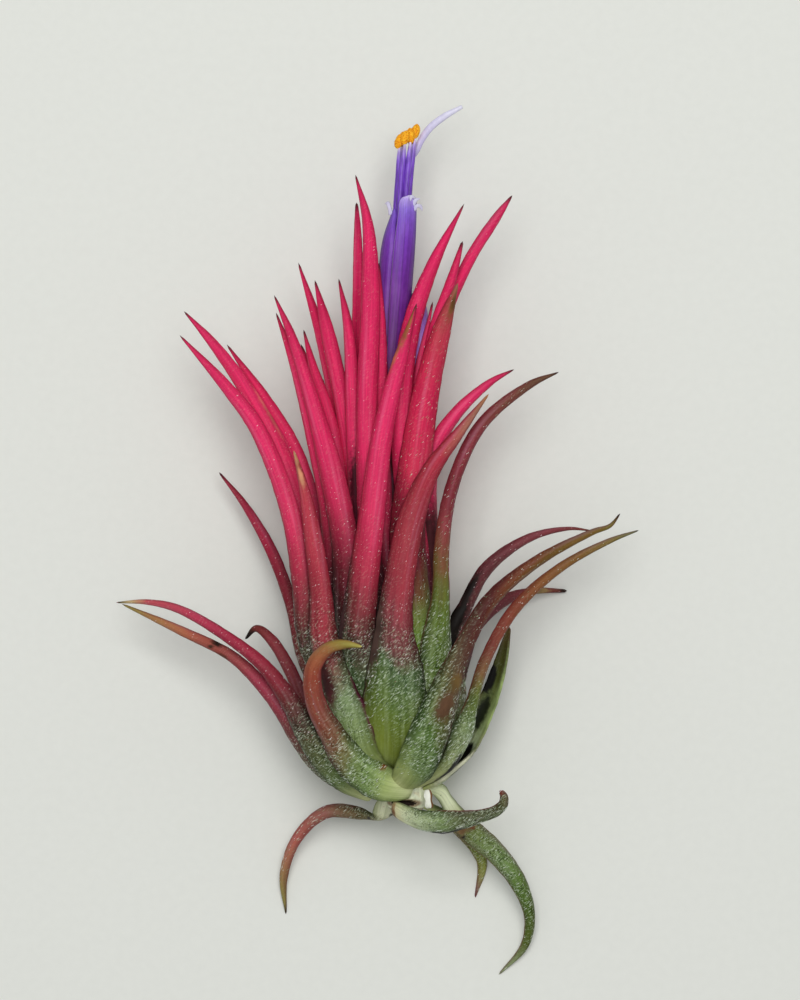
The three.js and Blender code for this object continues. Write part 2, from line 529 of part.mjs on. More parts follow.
function styleSolid(room) {
  const { route, radius, sides, steps } = STYLE;
  return solidOf(rodGeometry(route.map(point), [radius + room], sides, steps));
}

function leafPiece(name, tone, rootInwards, bladeInwards, points) {
  const leaf = { points, rootInwards: point(rootInwards), bladeInwards: point(bladeInwards) };
  return { name: `leaf_${name}`, tone, make: (room) => solidOf(leafGeometry(leaf, room)) };
}

// The direction from that bearing round the stem towards its axis.
function inwardsAt(degrees) {
  const around = THREE.MathUtils.degToRad(degrees);
  return [-Math.cos(around), 0, -Math.sin(around)];
}

// Every piece gives its solid, with the room that is asked for round it. The first ones stay whole.
const pieces = [{ name: "stem", tone: "bark", make: (room) => solidOf(stemGeometry(room)) }];
for (let index = 0; index < PETAL.count; index += 1) {
  pieces.push({
    name: `petal_${index + 1}`, tone: "violet", make: (room) => solidOf(petalGeometry(index, room)),
  });
}
pieces.push({ name: "filaments", tone: "purple", make: filamentSolid });
pieces.push({ name: "style", tone: "pale", make: styleSolid });
pieces.push({ name: "anthers", tone: "yellow", make: antherSolid });
pieces.push({ name: "bud", tone: "violet", make: (room) => solidOf(budGeometry(room)) });
for (const leaf of OUTER_LEAVES) pieces.push(leafPiece(...leaf));
LEAVES.forEach(([name, tone, azimuth, face, sheath, blade], rank) => {
  const points = [...sheathPoints(azimuth, sheath, rank), ...blade];
  pieces.push(leafPiece(name, tone, inwardsAt(azimuth), inwardsAt(face), points));
});
for (const leaf of BASAL_LEAVES) pieces.push(leafPiece(...leaf));

// The plant's weight flattens its lowest leaves against the surface.
const ground = new THREE.BoxGeometry(GROUND.size, GROUND.size, GROUND.depth);
ground.translate(0, 0, -FOOT.z - GROUND.depth / 2);
const surface = solidOf(ground);

const boxesMeet = (one, other) => [0, 1, 2].every(
  (axis) => one.min[axis] < other.max[axis] && other.min[axis] < one.max[axis],
);

// Each piece is cut clear of the surface and of the pieces before it.
const rooms = [];
for (const { name, tone, make } of pieces) {
  let solid = make(0).subtract(surface);
  const box = solid.boundingBox();
  for (const room of rooms) {
    if (boxesMeet(box, room.boundingBox())) solid = solid.subtract(room);
  }
  rooms.push(make(GAP));
  const material = new THREE.MeshStandardMaterial({ color: TONES[tone], roughness: ROUGHNESS, metalness: 0 });
  const mesh = new THREE.Mesh(geometryOf(largestBody(solid.simplify(FINEST))), material);
  mesh.name = name;
  plant.add(mesh);
}

export default plant;
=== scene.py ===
"""Dresses the fuego air plant: finer leaves and flower in place of its plain solids, with their finishes.

Lengths are millimetres measured from the foot of the stem, as the plant's own solids have them. They
become metres in the frame when a mesh is made.
"""

import math

import bmesh
import bpy
import numpy as np
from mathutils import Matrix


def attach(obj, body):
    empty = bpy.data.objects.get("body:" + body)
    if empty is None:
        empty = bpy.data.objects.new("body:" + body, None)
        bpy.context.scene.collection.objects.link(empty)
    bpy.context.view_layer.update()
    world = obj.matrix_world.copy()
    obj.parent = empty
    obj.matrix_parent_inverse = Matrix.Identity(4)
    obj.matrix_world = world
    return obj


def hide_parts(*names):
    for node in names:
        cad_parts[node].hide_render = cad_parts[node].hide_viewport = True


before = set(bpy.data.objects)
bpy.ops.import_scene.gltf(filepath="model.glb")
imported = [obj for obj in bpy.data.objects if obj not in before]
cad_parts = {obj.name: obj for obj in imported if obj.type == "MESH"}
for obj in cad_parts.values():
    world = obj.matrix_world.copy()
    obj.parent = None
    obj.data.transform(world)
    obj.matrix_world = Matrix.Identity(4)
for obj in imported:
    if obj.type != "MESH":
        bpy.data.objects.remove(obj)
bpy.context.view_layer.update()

MM = 0.001
FOOT = np.array([2.25, -31.35, 11.6])

# Each random draw starts from its own seed. A leaf's seed also counts the leaves.
SEEDS = {"outer_leaves": 100, "basal_leaves": 200, "scales": 7, "anthers": 21, "stem": 5}

# The photograph's view: straight down on the plant as it lies, over this point.
VIEW_HEIGHT = 600.0
VIEW_CENTRE = (0.625, 36.875)
VIEW_TALL = 125.0

# One leaf: a loft of rounded, channelled sections along its route, a little closer towards the tip.
STATIONS = 96
STATION_SPACING = 0.9
ACROSS = 10
LEAST_WIDTH = 0.12
THICKNESS = 0.75
THINNEST = 0.25
THINNING = 0.45

# How deep the channel is in the sheath and the blade, where the one becomes the other, how its section rises
# to the margins and thins out there, and where the leaf turns from the sheath's direction to the blade's.
SHEATH_BEND = 0.11
BLADE_BEND = 0.27
BLADE_START = 0.2
BLADE_FULL = 0.45
CHANNEL_RISE = 0.6
CHANNEL_POWER = 1.9
MARGIN_THINNING = 0.985
MARGIN_POWER = 2.6
TURN_START = 0.18
TURN_FULL = 0.5

# The last stretch of its tip closes round. Its breadth ripples: each wave's share and turns along the leaf.
TIP_CLOSES = 0.35
RIPPLE_SHARE = 0.012
RIPPLES = [(1, 1.9), (1, 3.3), (0.7, 6.1)]

# What its material reads: heights as shares of this one, the tongue that the paint makes up its middle, and
# the way left to the tip in units of this length.
TALLEST = 80.0
TONGUE = 3.2
LEFT_UNIT = 10

# Where the leaves that aren't outermost leave the stem, and how their sheaths rise as the bulb.
BULB = {
    "outer_radius": 10.3, "inner_radius": 3.4, "lowest": 0.8, "highest": 13.5, "spacing": 0.9,
    "root_radius": 2.7, "root_width": 4.8, "flare": 0.66, "flare_rise": 2.4, "flare_width": 0.95,
    "belly_rise": 6.6,
}

# The five outermost leaves wrap the foot: name, slot, paint, the directions that the inner side faces at the
# root and along the blade, and the whole route as (x, y, z, width).
OUTER_LEAVES = [
    ("curled", "orange", "curled", (0, 0.4, -1), (0.4, 0, -1), [
        (2, 0.9, 3, 3.2), (-1.2, 1.4, 4.6, 4.8), (-3.7, 2.9, 6.1, 4.9), (-6.1, 5.2, 7.4, 4.2),
        (-8, 8.2, 8.3, 3.3), (-9.6, 11.1, 9, 2.8), (-10.3, 14.4, 9.8, 2.5), (-9.9, 16.8, 10.6, 2.1),
        (-8.2, 18.7, 11.4, 1.6), (-6.1, 19.2, 11.9, 1.1), (-4, 18.9, 12, 0.3)]),
    ("front_right_low", "olive", "olive", (-0.2, 0.4, -1), (-0.35, 0, -1), [
        (0.8, 1.2, 3.1, 3.4), (2.2, 2.9, 6.4, 5), (3.7, 6.6, 9, 5.3), (5.6, 11.4, 9.8, 4.6),
        (8.2, 18, 9.5, 2.7), (11.7, 24.3, 8.3, 2.1), (17.5, 29.2, 6.2, 1.5), (24.6, 32.9, 3.5, 0.8),
        (26.8, 33.7, 3, 0.5), (28, 35.2, 3.2, 0.15)]),
    ("left_low", "maroon", "rose", (0.5, 0.4, -1), (0.4, 0, -1), [
        (-2.6, 0.3, 1.8, 3.6), (-5.8, 1.9, 3.4, 4.4), (-8.9, 4.6, 4.4, 4), (-11.2, 8.2, 4.2, 3.4),
        (-13.3, 12, 3.8, 2.6), (-16.2, 16, 3.2, 1.9), (-20.2, 19.3, 2.6, 1.5), (-26.9, 23.2, 1, 1.1),
        (-31, 24.1, -0.6, 0.7), (-35, 24, -2.4, 0.15)]),
    ("side_left_low", "orange", "ember", (0.7, 0.4, -0.6), (0.5, 0, -1), [
        (-2.8, 0.1, 0.2, 3.4), (-6.2, 1.3, 0.8, 4), (-9.5, 3.6, 1.3, 3.6), (-12, 7, 1.4, 3),
        (-14.3, 10.8, 1, 2.4), (-17.1, 14.2, 0.5, 1.9), (-20.6, 17.4, 0.1, 1.5), (-26.9, 20.5, -1.5, 1.2),
        (-34.4, 23.8, -4, 0.2)]),
    ("side_right_low", "green", "green", (-0.9, 0.3, 0.2), (-0.5, 0, 0.85), [
        (3.2, 0.8, 0, 3.6), (5.8, 2.1, -0.5, 4), (8.4, 4.8, -1.2, 3.8), (10.3, 8.3, -1.8, 3.2),
        (12, 12, -2.6, 2.7), (13.4, 16.4, -3.4, 1.9), (14.4, 20.9, -4.6, 0.5)]),
]

# The other leaves, from the outermost inwards: name, slot, paint, degrees round the stem, degrees round it
# that the blade turns to, the sheath's width, and the blade's route from above the sheath to the tip.
LEAVES = [
    ("under_mid", "red", "dusty", 262, 264, 6, [
        (-1.5, 14, -11, 4.2), (-2.6, 24, -11.2, 2.8), (-4.2, 35, -11.2, 2), (-6, 46, -10.4, 0.3)]),
    ("right_low", "orange", "rust", 33, 58, 4.4, [
        (9.5, 11.2, 5.1, 2.1), (11.3, 17, 4.7, 1.6), (15, 23.4, 4.2, 1.6), (20.7, 28.5, 3, 1.2),
        (26.9, 31.8, 1, 0.7), (30.5, 33.1, 0, 0.15)]),
    ("left_withered", "maroon", "wine", 205, 130, 4.6, [
        (-11.6, 11.6, -3.2, 2.4), (-13.4, 15.6, -3.3, 1.9), (-15.6, 19.2, -3.8, 1.5),
        (-17.5, 20.7, -4.4, 0.9), (-18.9, 19.3, -6, 0.2)]),
    ("under_right", "maroon", "dusty", 290, 285, 6, [
        (3.6, 13, -10.6, 4), (4.4, 22, -11.2, 2.6), (4.2, 32, -11.2, 1.9), (3, 42, -10.6, 0.3)]),
    ("right_under", "maroon", "dull", 318, 400, 5, [
        (8.8, 16.6, -4.4, 2.4), (10.3, 20.7, -5.2, 1.8), (13.9, 24.1, -7.2, 1.6), (17.7, 25.3, -9.4, 0.9),
        (21.9, 25.3, -11.4, 0.4)]),
    ("front_left", "maroon", "flank", 131, 108, 7.4, [
        (-7.4, 14, 7.6, 4.6), (-8.9, 19.4, 7.8, 3.8), (-9.3, 25.6, 7.6, 2.9), (-10.2, 32, 7.5, 2.4),
        (-11.3, 38.4, 7.3, 1.3), (-12.5, 43, 7, 0.2)]),
    ("under_left", "red", "dusty", 235, 245, 6, [
        (-6.6, 14, -9.8, 4), (-7.6, 22, -10.8, 2.6), (-8.4, 31, -11, 1.8), (-9, 40, -10.4, 0.3)]),
    ("front_centre", "red", "dusty", 90, 90, 8.2, [
        (0, 15.5, 9, 7.2), (-0.1, 20.6, 9, 4.9), (0.4, 26, 8.8, 3.9), (2.2, 35, 8.7, 3.3),
        (4.5, 40.6, 8.5, 2.3), (7.9, 45.2, 8.1, 1.4), (11.6, 50, 7.8, 0.2)]),
    ("left_dark", "maroon", "crimson", 200, 130, 4.6, [
        (-11.6, 17, -3.2, 2.4), (-13.1, 23.4, -4, 1.9), (-15.6, 30.2, -5.2, 1.7), (-18.9, 36, -6.8, 1),
        (-22.3, 40.4, -8.2, 0.15)]),
    ("under_long", "red", "dusty", 278, 275, 5.6, [
        (0.6, 20, -8.9, 4), (0.2, 30, -9.2, 2.8), (-0.8, 41, -9.2, 1.9), (-2, 52, -8.6, 0.3)]),
    ("right_front", "red", "brown", 54, 66, 5.6, [
        (5.3, 19, 7, 4.4), (5.8, 25, 7, 2.5), (5.9, 31, 6.6, 2.1), (7.2, 38.6, 5.6, 1.8),
        (10.8, 46.2, 4.5, 1.6), (16.8, 51.2, 3, 1), (20.4, 52.8, 2.4, 0.15)]),
    ("right_maroon", "maroon", "dull", 14, 62, 4.6, [
        (7.2, 19.6, 2.2, 2.8), (8.9, 23.6, 2.1, 2.1), (11.6, 28.4, 2, 1.8), (16.7, 32.1, 1.5, 1.1),
        (21.6, 33.3, 0.8, 0.5), (24.8, 33, 0.2, 0.15)]),
    ("left_outer", "pink", "pink", 158, 112, 4.8, [
        (-11, 19, 5, 3), (-11.7, 26.6, 5.3, 2.8), (-13.1, 35.2, 5.5, 2.6), (-17.1, 45.6, 5, 2.2),
        (-21, 50.9, 4.1, 1.6), (-26.8, 57.4, 3, 0.15)]),
    ("left_tall", "pink", "pink", 172, 112, 4.6, [
        (-9.8, 22, 1.8, 3.2), (-11.6, 33.6, 2.2, 2.8), (-14.4, 42.3, 2.6, 2.8), (-18.4, 50.2, 2.6, 2.1),
        (-22.6, 56.2, 2.2, 1.3), (-26.3, 60.4, 2, 0.15)]),
    ("front_tall", "pink", "pink", 116, 100, 6.4, [
        (-4.9, 18, 7.3, 5), (-4.2, 25.4, 7.4, 4.1), (-3, 34.4, 7.3, 3.4), (-1.7, 44.5, 7.1, 2.7),
        (0.6, 54.2, 6.9, 1.8), (2.7, 61.2, 6.6, 0.2)]),
    ("back_left_low", "pink", "pink", 222, 250, 4.8, [
        (-6, 22, -5.6, 3.2), (-6.8, 33, -5.4, 2.4), (-7.6, 44, -4.4, 1.9), (-9.3, 52.4, -3.6, 0.3)]),
    ("right_pink", "pink", "pink", 12, 68, 4.4, [
        (6, 22, 1.8, 3), (4.4, 33, 2.9, 2.4), (4.8, 42.6, 3.3, 2.2), (7.6, 47.5, 3.6, 1.7),
        (11.9, 51.5, 3.8, 0.9), (14.8, 53.1, 3.9, 0.15)]),
    ("left_front_tall", "pink", "heart", 143, 106, 5.2, [
        (-6, 22, 5.2, 4.4), (-6.3, 31, 5.4, 3.6), (-7.8, 39.4, 5.3, 3.3), (-10.2, 48.6, 5, 2.1),
        (-12.8, 57, 4.6, 1.2), (-15, 62.3, 4.4, 0.15)]),
    ("left_behind_tall", "pink", "heart", 160, 112, 4.4, [
        (-8, 22, 2.4, 3), (-8.3, 34.4, 2.4, 2.4), (-10.2, 44.4, 2.8, 2), (-12.4, 53.2, 3, 1.4),
        (-14.8, 60.2, 3.1, 0.15)]),
    ("right_tall", "pink", "foot", 72, 84, 5.6, [
        (2.4, 22, 6.6, 4.8), (1.6, 32, 5.7, 4.5), (2.5, 41, 5.7, 4.1), (4, 50.6, 5.7, 3.3),
        (6, 58.5, 5.3, 2.2), (7.8, 63.8, 5, 0.2)]),
    ("left_inner_fan", "pink", "heart", 184, 118, 4.4, [
        (-8, 24, -1.4, 3.2), (-9.8, 33.2, -0.9, 2.6), (-12.4, 42.6, -0.4, 2), (-16.3, 49.4, 0.2, 1.6),
        (-21, 56.3, 0.8, 0.15)]),
    ("back_right_low", "pink", "pink", 315, 290, 4.6, [
        (4.2, 24, -6, 3.2), (4.4, 36, -6.4, 2.2), (4.5, 48, -6.4, 0.3)]),
    ("left_mid", "pink", "heart", 172, 112, 4, [
        (-5, 26, 0.8, 2.8), (-5.2, 38, 0.8, 2.4), (-6.6, 48.4, 1, 2.2), (-8.4, 57.4, 1.3, 1.9),
        (-10, 64.3, 1.6, 0.15)]),
    ("left_fan_inner", "pink", "heart", 176, 116, 3.8, [
        (-6.4, 27, 0.4, 2.4), (-6.7, 37, 0.4, 2.2), (-8.4, 47.5, 0.8, 1.8), (-10.2, 53.2, 1.2, 1.2),
        (-11.4, 58.1, 1.6, 0.15)]),
    ("left_back_tall", "pink", "heart", 192, 120, 4, [
        (-5.6, 28, -2.6, 2.8), (-6.6, 43, -2.4, 2.2), (-9.2, 56.8, -1.6, 1.7), (-12.1, 66.6, -0.9, 0.15)]),
    ("right_back_tall", "pink", "heart", 12, 68, 4.2, [
        (4.6, 28, 0.4, 2.8), (3.8, 44, 0.8, 2.4), (5.2, 56.6, 1.2, 1.9), (9.2, 66.5, 1.8, 1.5),
        (12.6, 71.9, 2.2, 1.2), (14.6, 74.8, 2.5, 0.2)]),
    ("back_left_mid", "pink", "pink", 248, 258, 4.2, [
        (-2.6, 28, -5, 2.8), (-3.8, 44, -5.6, 2), (-5, 58, -5.8, 0.3)]),
    ("right_mid", "pink", "heart", 38, 74, 4, [
        (3.6, 30, 3, 2.6), (3.5, 46, 3.1, 2.2), (4.9, 57.4, 3.4, 1.7), (7, 64, 3.8, 1.3),
        (8.4, 69, 4.2, 0.3)]),
    ("back_right_mid", "pink", "pink", 298, 284, 4.2, [
        (1.8, 30, -4.4, 2.8), (2, 46, -5, 1.9), (2, 60, -5, 0.3)]),
    ("left_centre", "pink", "heart", 158, 110, 3.8, [
        (-4.6, 30, 2.6, 2.4), (-5.3, 46, 2.9, 2), (-5.8, 57.6, 3.1, 1.4), (-7, 64.4, 3.3, 0.15)]),
    ("crown", "pink", "heart", 122, 100, 4.2, [
        (-3.2, 30, 4.5, 3), (-3.6, 46, 4.8, 2.7), (-3.1, 62, 4.8, 2.4), (-3.4, 71, 4.9, 1.4),
        (-4.9, 77.2, 5.2, 0.15)]),
    ("small_fan_tip", "pink", "heart", 188, 122, 3.4, [
        (-4.4, 32, -1.4, 2), (-8, 46.8, -1.2, 1.6), (-11.8, 56.4, -0.6, 0.15)]),
    ("back_tall", "pink", "pink", 270, 270, 3.8, [
        (-1, 32, -3.8, 2.6), (-1.4, 48, -4.2, 2), (-1.6, 64, -4.2, 0.3)]),
    ("right_inner_tall", "pink", "heart", 62, 80, 4, [
        (1.8, 32, 3.9, 2.8), (0.8, 47, 4.2, 2.6), (2, 58, 4.2, 2.4), (4.8, 66.2, 4, 1.6),
        (8.6, 73.7, 3.8, 0.15)]),
    ("back_left_high", "pink", "heart", 222, 250, 3.6, [
        (-2.8, 33, -2.6, 2.4), (-4.7, 49.4, -0.6, 1.8), (-4.7, 62, 0.6, 1.4), (-4.7, 70, 0.9, 1),
        (-4.8, 74, 1, 0.3)]),
    ("right_low_tip", "pink", "pink", 335, 300, 3.6, [
        (3.2, 34, -2, 2.4), (3.4, 46, -2.2, 1.8), (3.9, 57, -2.2, 0.3)]),
    ("back_high", "pink", "pink", 300, 285, 3.4, [
        (1.2, 35, -3, 2.2), (1.2, 50, -3.2, 1.6), (1.4, 64, -3.2, 0.3)]),
    ("right_small_tip", "pink", "heart", 20, 70, 3.4, [
        (2.9, 36, 1.2, 2), (2.6, 50, 2, 1.4), (4.7, 61.6, 2.8, 0.2)]),
    ("front_inner", "pink", "heart", 100, 96, 3.6, [
        (-1.6, 38, 3, 2.4), (-1.9, 50, 3.1, 2), (-1.8, 58, 3.2, 1.4), (-2, 66.4, 3.4, 0.2)]),
]

# Four old leaves hang from the foot of the stem: as the outermost ones, with the same columns.
BASAL_LEAVES = [
    ("droop_left", "salmon", "salmon", (0, 1, 0), (0.3, 0.2, -0.9), [
        (-0.6, -0.5, -1.6, 3), (-1.6, -2.8, -3.4, 3.7), (-4.2, -2.7, -4.2, 2.4), (-8.6, -2.5, -5.4, 1.7),
        (-12.4, -5.9, -7.8, 1.4), (-14.2, -11, -10.2, 1.1), (-13.9, -15.9, -11.6, 0.15)]),
    ("silver_front", "silver", "silver", (0, 0.6, -0.8), (0, 0.3, -1), [
        (-0.1, -1.7, 1.6, 2.6), (1.9, -2.6, 3.2, 3.4), (3.7, -3.1, 4.4, 3.5), (5.8, -3.2, 5.2, 3.4),
        (8.2, -2.9, 5.4, 2.6), (10.5, -2.4, 5.2, 1.8), (12.4, -1.8, 5, 1.5), (13.4, -0.9, 4.9, 1.3),
        (13.5, 0.1, 5, 1), (13, 0.9, 5.2, 0.5)]),
    ("droop_right", "green", "drooping", (-0.6, 0.6, -0.4), (-0.3, 0.2, -0.9), [
        (2.8, 1, -1.6, 1.8), (5.4, 0.5, -2.6, 1.9), (6.6, -1.1, -3.4, 1.9), (7.8, -3, -4.2, 2.6),
        (9.7, -5, -4.8, 3.1), (12.9, -7.8, -5.4, 2.7), (15.7, -11.6, -6.6, 2.2), (17.1, -15.8, -8.4, 1.5),
        (16.5, -19.8, -10.2, 1.1), (13.2, -23.6, -11.6, 0.15)]),
    ("droop_short", "silver", "short", (0, 1, 0), (-0.3, 0.3, -0.9), [
        (1.6, -0.6, -2.4, 2.2), (5.2, -2.4, -7, 2.2), (9, -5.6, -9.8, 2), (11.1, -9.2, -11, 1.4),
        (10.2, -13.8, -11.6, 0.15)]),
]

# Paints: what the stops are measured by, the dry tip's length and colour, and the stops with their sRGB
# colours. Height is millimetres above the foot of the stem, and length is the share of the way to the tip.
CREAM = (190, 195, 134)
PAINTS = {
    "pink": ("height", 1.6, (66, 34, 34), [
        (0, *CREAM), (4, 128, 140, 70), (7.5, 92, 104, 40), (12, 76, 92, 46), (16, 60, 80, 44),
        (20.6, 64, 36, 32), (24.4, 116, 46, 50), (30, 184, 50, 76), (34.4, 208, 50, 90),
        (45.6, 224, 44, 98), (80, 226, 38, 100)]),
    "heart": ("height", 1.6, (66, 34, 34), [
        (0, *CREAM), (8, 70, 84, 34), (16, 44, 50, 28), (20, 30, 16, 15), (25, 62, 18, 24),
        (30, 104, 26, 40), (35, 184, 44, 78), (44, 218, 42, 94), (80, 226, 34, 96)]),
    "dusty": ("height", 3, (168, 112, 76), [
        (0, *CREAM), (4, 132, 146, 70), (7.5, 108, 120, 44), (12, 90, 110, 42), (17, 72, 96, 54),
        (19.2, 96, 56, 54), (23, 136, 58, 66), (29, 164, 56, 68), (36, 156, 50, 62), (44, 172, 44, 64),
        (50, 172, 116, 96)]),
    "flank": ("height", 2, (176, 132, 96), [
        (0, *CREAM), (5, 136, 150, 84), (9, 126, 146, 88), (13, 118, 138, 94), (15.6, 104, 94, 72),
        (18, 124, 52, 56), (21, 150, 48, 60), (31, 172, 52, 68), (38, 184, 54, 72), (41, 182, 76, 76),
        (43, 176, 124, 92)]),
    "brown": ("height", 1.6, (60, 40, 38), [
        (0, *CREAM), (8, 104, 118, 58), (17, 84, 106, 42), (24, 92, 112, 40), (28, 108, 104, 46),
        (31, 130, 84, 58), (34, 138, 58, 62), (38, 120, 42, 50), (45, 134, 50, 60), (50, 122, 64, 56),
        (53, 112, 76, 58)]),
    "crimson": ("height", 2, (60, 24, 32), [
        (0, *CREAM), (8, 90, 104, 58), (16, 112, 60, 58), (22, 126, 36, 48), (27, 138, 38, 54),
        (33, 158, 32, 62), (38, 160, 48, 70)]),
    "foot": ("height", 2.6, (150, 100, 80), [
        (0, *CREAM), (8, 104, 126, 50), (16, 106, 134, 46), (22, 102, 128, 46), (27.5, 104, 60, 42),
        (30, 112, 30, 42), (37, 136, 30, 52), (42, 204, 46, 80), (50, 206, 34, 80), (57, 194, 50, 76),
        (64, 168, 80, 72)]),
    "dull": ("length", 1.2, (60, 40, 34), [
        (0, *CREAM), (0.2, 96, 108, 56), (0.32, 84, 56, 48), (0.42, 70, 36, 36), (0.55, 98, 50, 52),
        (0.68, 112, 58, 62), (0.84, 128, 56, 62), (0.94, 132, 62, 58), (1, 112, 70, 50)]),
    "wine": ("length", 3, (24, 18, 16), [
        (0, *CREAM), (0.2, 96, 108, 56), (0.32, 98, 66, 54), (0.42, 106, 46, 48), (0.55, 120, 48, 52),
        (0.72, 138, 52, 60), (0.88, 124, 54, 46), (0.94, 60, 34, 26), (1, 40, 28, 22)]),
    "rose": ("length", 2.2, (36, 28, 26), [
        (0, *CREAM), (0.14, 92, 110, 60), (0.26, 78, 80, 46), (0.36, 72, 50, 42), (0.44, 102, 40, 42),
        (0.52, 136, 40, 54), (0.62, 162, 46, 68), (0.74, 176, 54, 80), (0.88, 190, 82, 90),
        (0.94, 202, 168, 124), (1, 210, 188, 140)]),
    "ember": ("length", 0.8, (60, 46, 34), [
        (0, *CREAM), (0.12, 74, 90, 38), (0.25, 84, 76, 54), (0.36, 104, 62, 58), (0.48, 136, 54, 64),
        (0.62, 160, 56, 76), (0.74, 156, 76, 74), (0.85, 168, 92, 70), (0.93, 168, 122, 76),
        (1, 168, 152, 84)]),
    "curled": ("length", 0.5, (196, 184, 104), [
        (0, 204, 210, 158), (0.1, 166, 182, 112), (0.2, 124, 150, 84), (0.28, 112, 126, 72),
        (0.35, 116, 80, 56), (0.48, 132, 68, 54), (0.62, 144, 68, 50), (0.72, 158, 92, 60),
        (0.8, 168, 122, 70), (0.9, 172, 158, 72), (1, 196, 182, 96)]),
    "olive": ("length", 1.6, (40, 26, 30), [
        (0, *CREAM), (0.08, 144, 156, 92), (0.16, 108, 130, 76), (0.25, 78, 106, 44), (0.33, 88, 88, 40),
        (0.4, 96, 78, 54), (0.46, 84, 54, 42), (0.53, 88, 40, 36), (0.61, 112, 62, 38), (0.7, 108, 78, 34),
        (0.8, 122, 92, 40), (0.88, 128, 112, 48), (1, 120, 50, 44)]),
    "rust": ("length", 1, (96, 92, 80), [
        (0, *CREAM), (0.12, 158, 166, 110), (0.24, 130, 146, 98), (0.33, 106, 124, 74), (0.4, 98, 112, 48),
        (0.46, 122, 90, 56), (0.53, 128, 66, 54), (0.61, 142, 76, 56), (0.69, 132, 82, 48),
        (0.8, 126, 92, 46), (0.9, 124, 108, 58), (1, 116, 112, 90)]),
    "green": ("length", 1, (96, 64, 40), [
        (0, *CREAM), (0.2, 206, 210, 172), (0.36, 196, 208, 170), (0.5, 156, 174, 116),
        (0.66, 122, 138, 78), (0.76, 72, 80, 32), (0.9, 82, 80, 34), (1, 126, 104, 62)]),
    "salmon": ("length", 1.7, (46, 26, 24), [
        (0, 212, 214, 184), (0.12, 206, 208, 172), (0.2, 136, 132, 84), (0.3, 102, 92, 58),
        (0.42, 116, 92, 66), (0.52, 144, 92, 80), (0.66, 170, 90, 80), (0.74, 166, 108, 84),
        (0.84, 154, 124, 80), (0.93, 160, 150, 84), (1, 150, 136, 90)]),
    "silver": ("length", 0.9, (112, 34, 40), [
        (0, 206, 196, 150), (0.1, 212, 218, 178), (0.2, 182, 196, 150), (0.33, 120, 140, 88),
        (0.45, 82, 88, 54), (0.6, 90, 94, 66), (0.75, 86, 86, 52), (0.88, 116, 104, 70), (1, 112, 62, 50)]),
    "drooping": ("length", 0.9, (110, 100, 84), [
        (0, 228, 234, 200), (0.1, 224, 232, 190), (0.24, 220, 226, 188), (0.33, 176, 182, 130),
        (0.42, 124, 136, 74), (0.56, 112, 136, 78), (0.66, 92, 120, 52), (0.78, 80, 102, 36),
        (0.88, 90, 106, 34), (0.95, 140, 150, 108), (1, 154, 156, 124)]),
    "short": ("length", 1.4, (100, 56, 58), [
        (0, 190, 196, 140), (0.3, 140, 150, 78), (0.6, 130, 146, 60), (0.82, 158, 158, 80),
        (0.95, 146, 108, 96), (1, 140, 92, 86)]),
}

# How far the paint's stops shift from one margin to the other: positive brings the left margin's nearer
# the base.
TILTS = {"curled": 0.05, "front_centre": -0.035, "front_tall": -0.03, "front_right_low": -0.07}

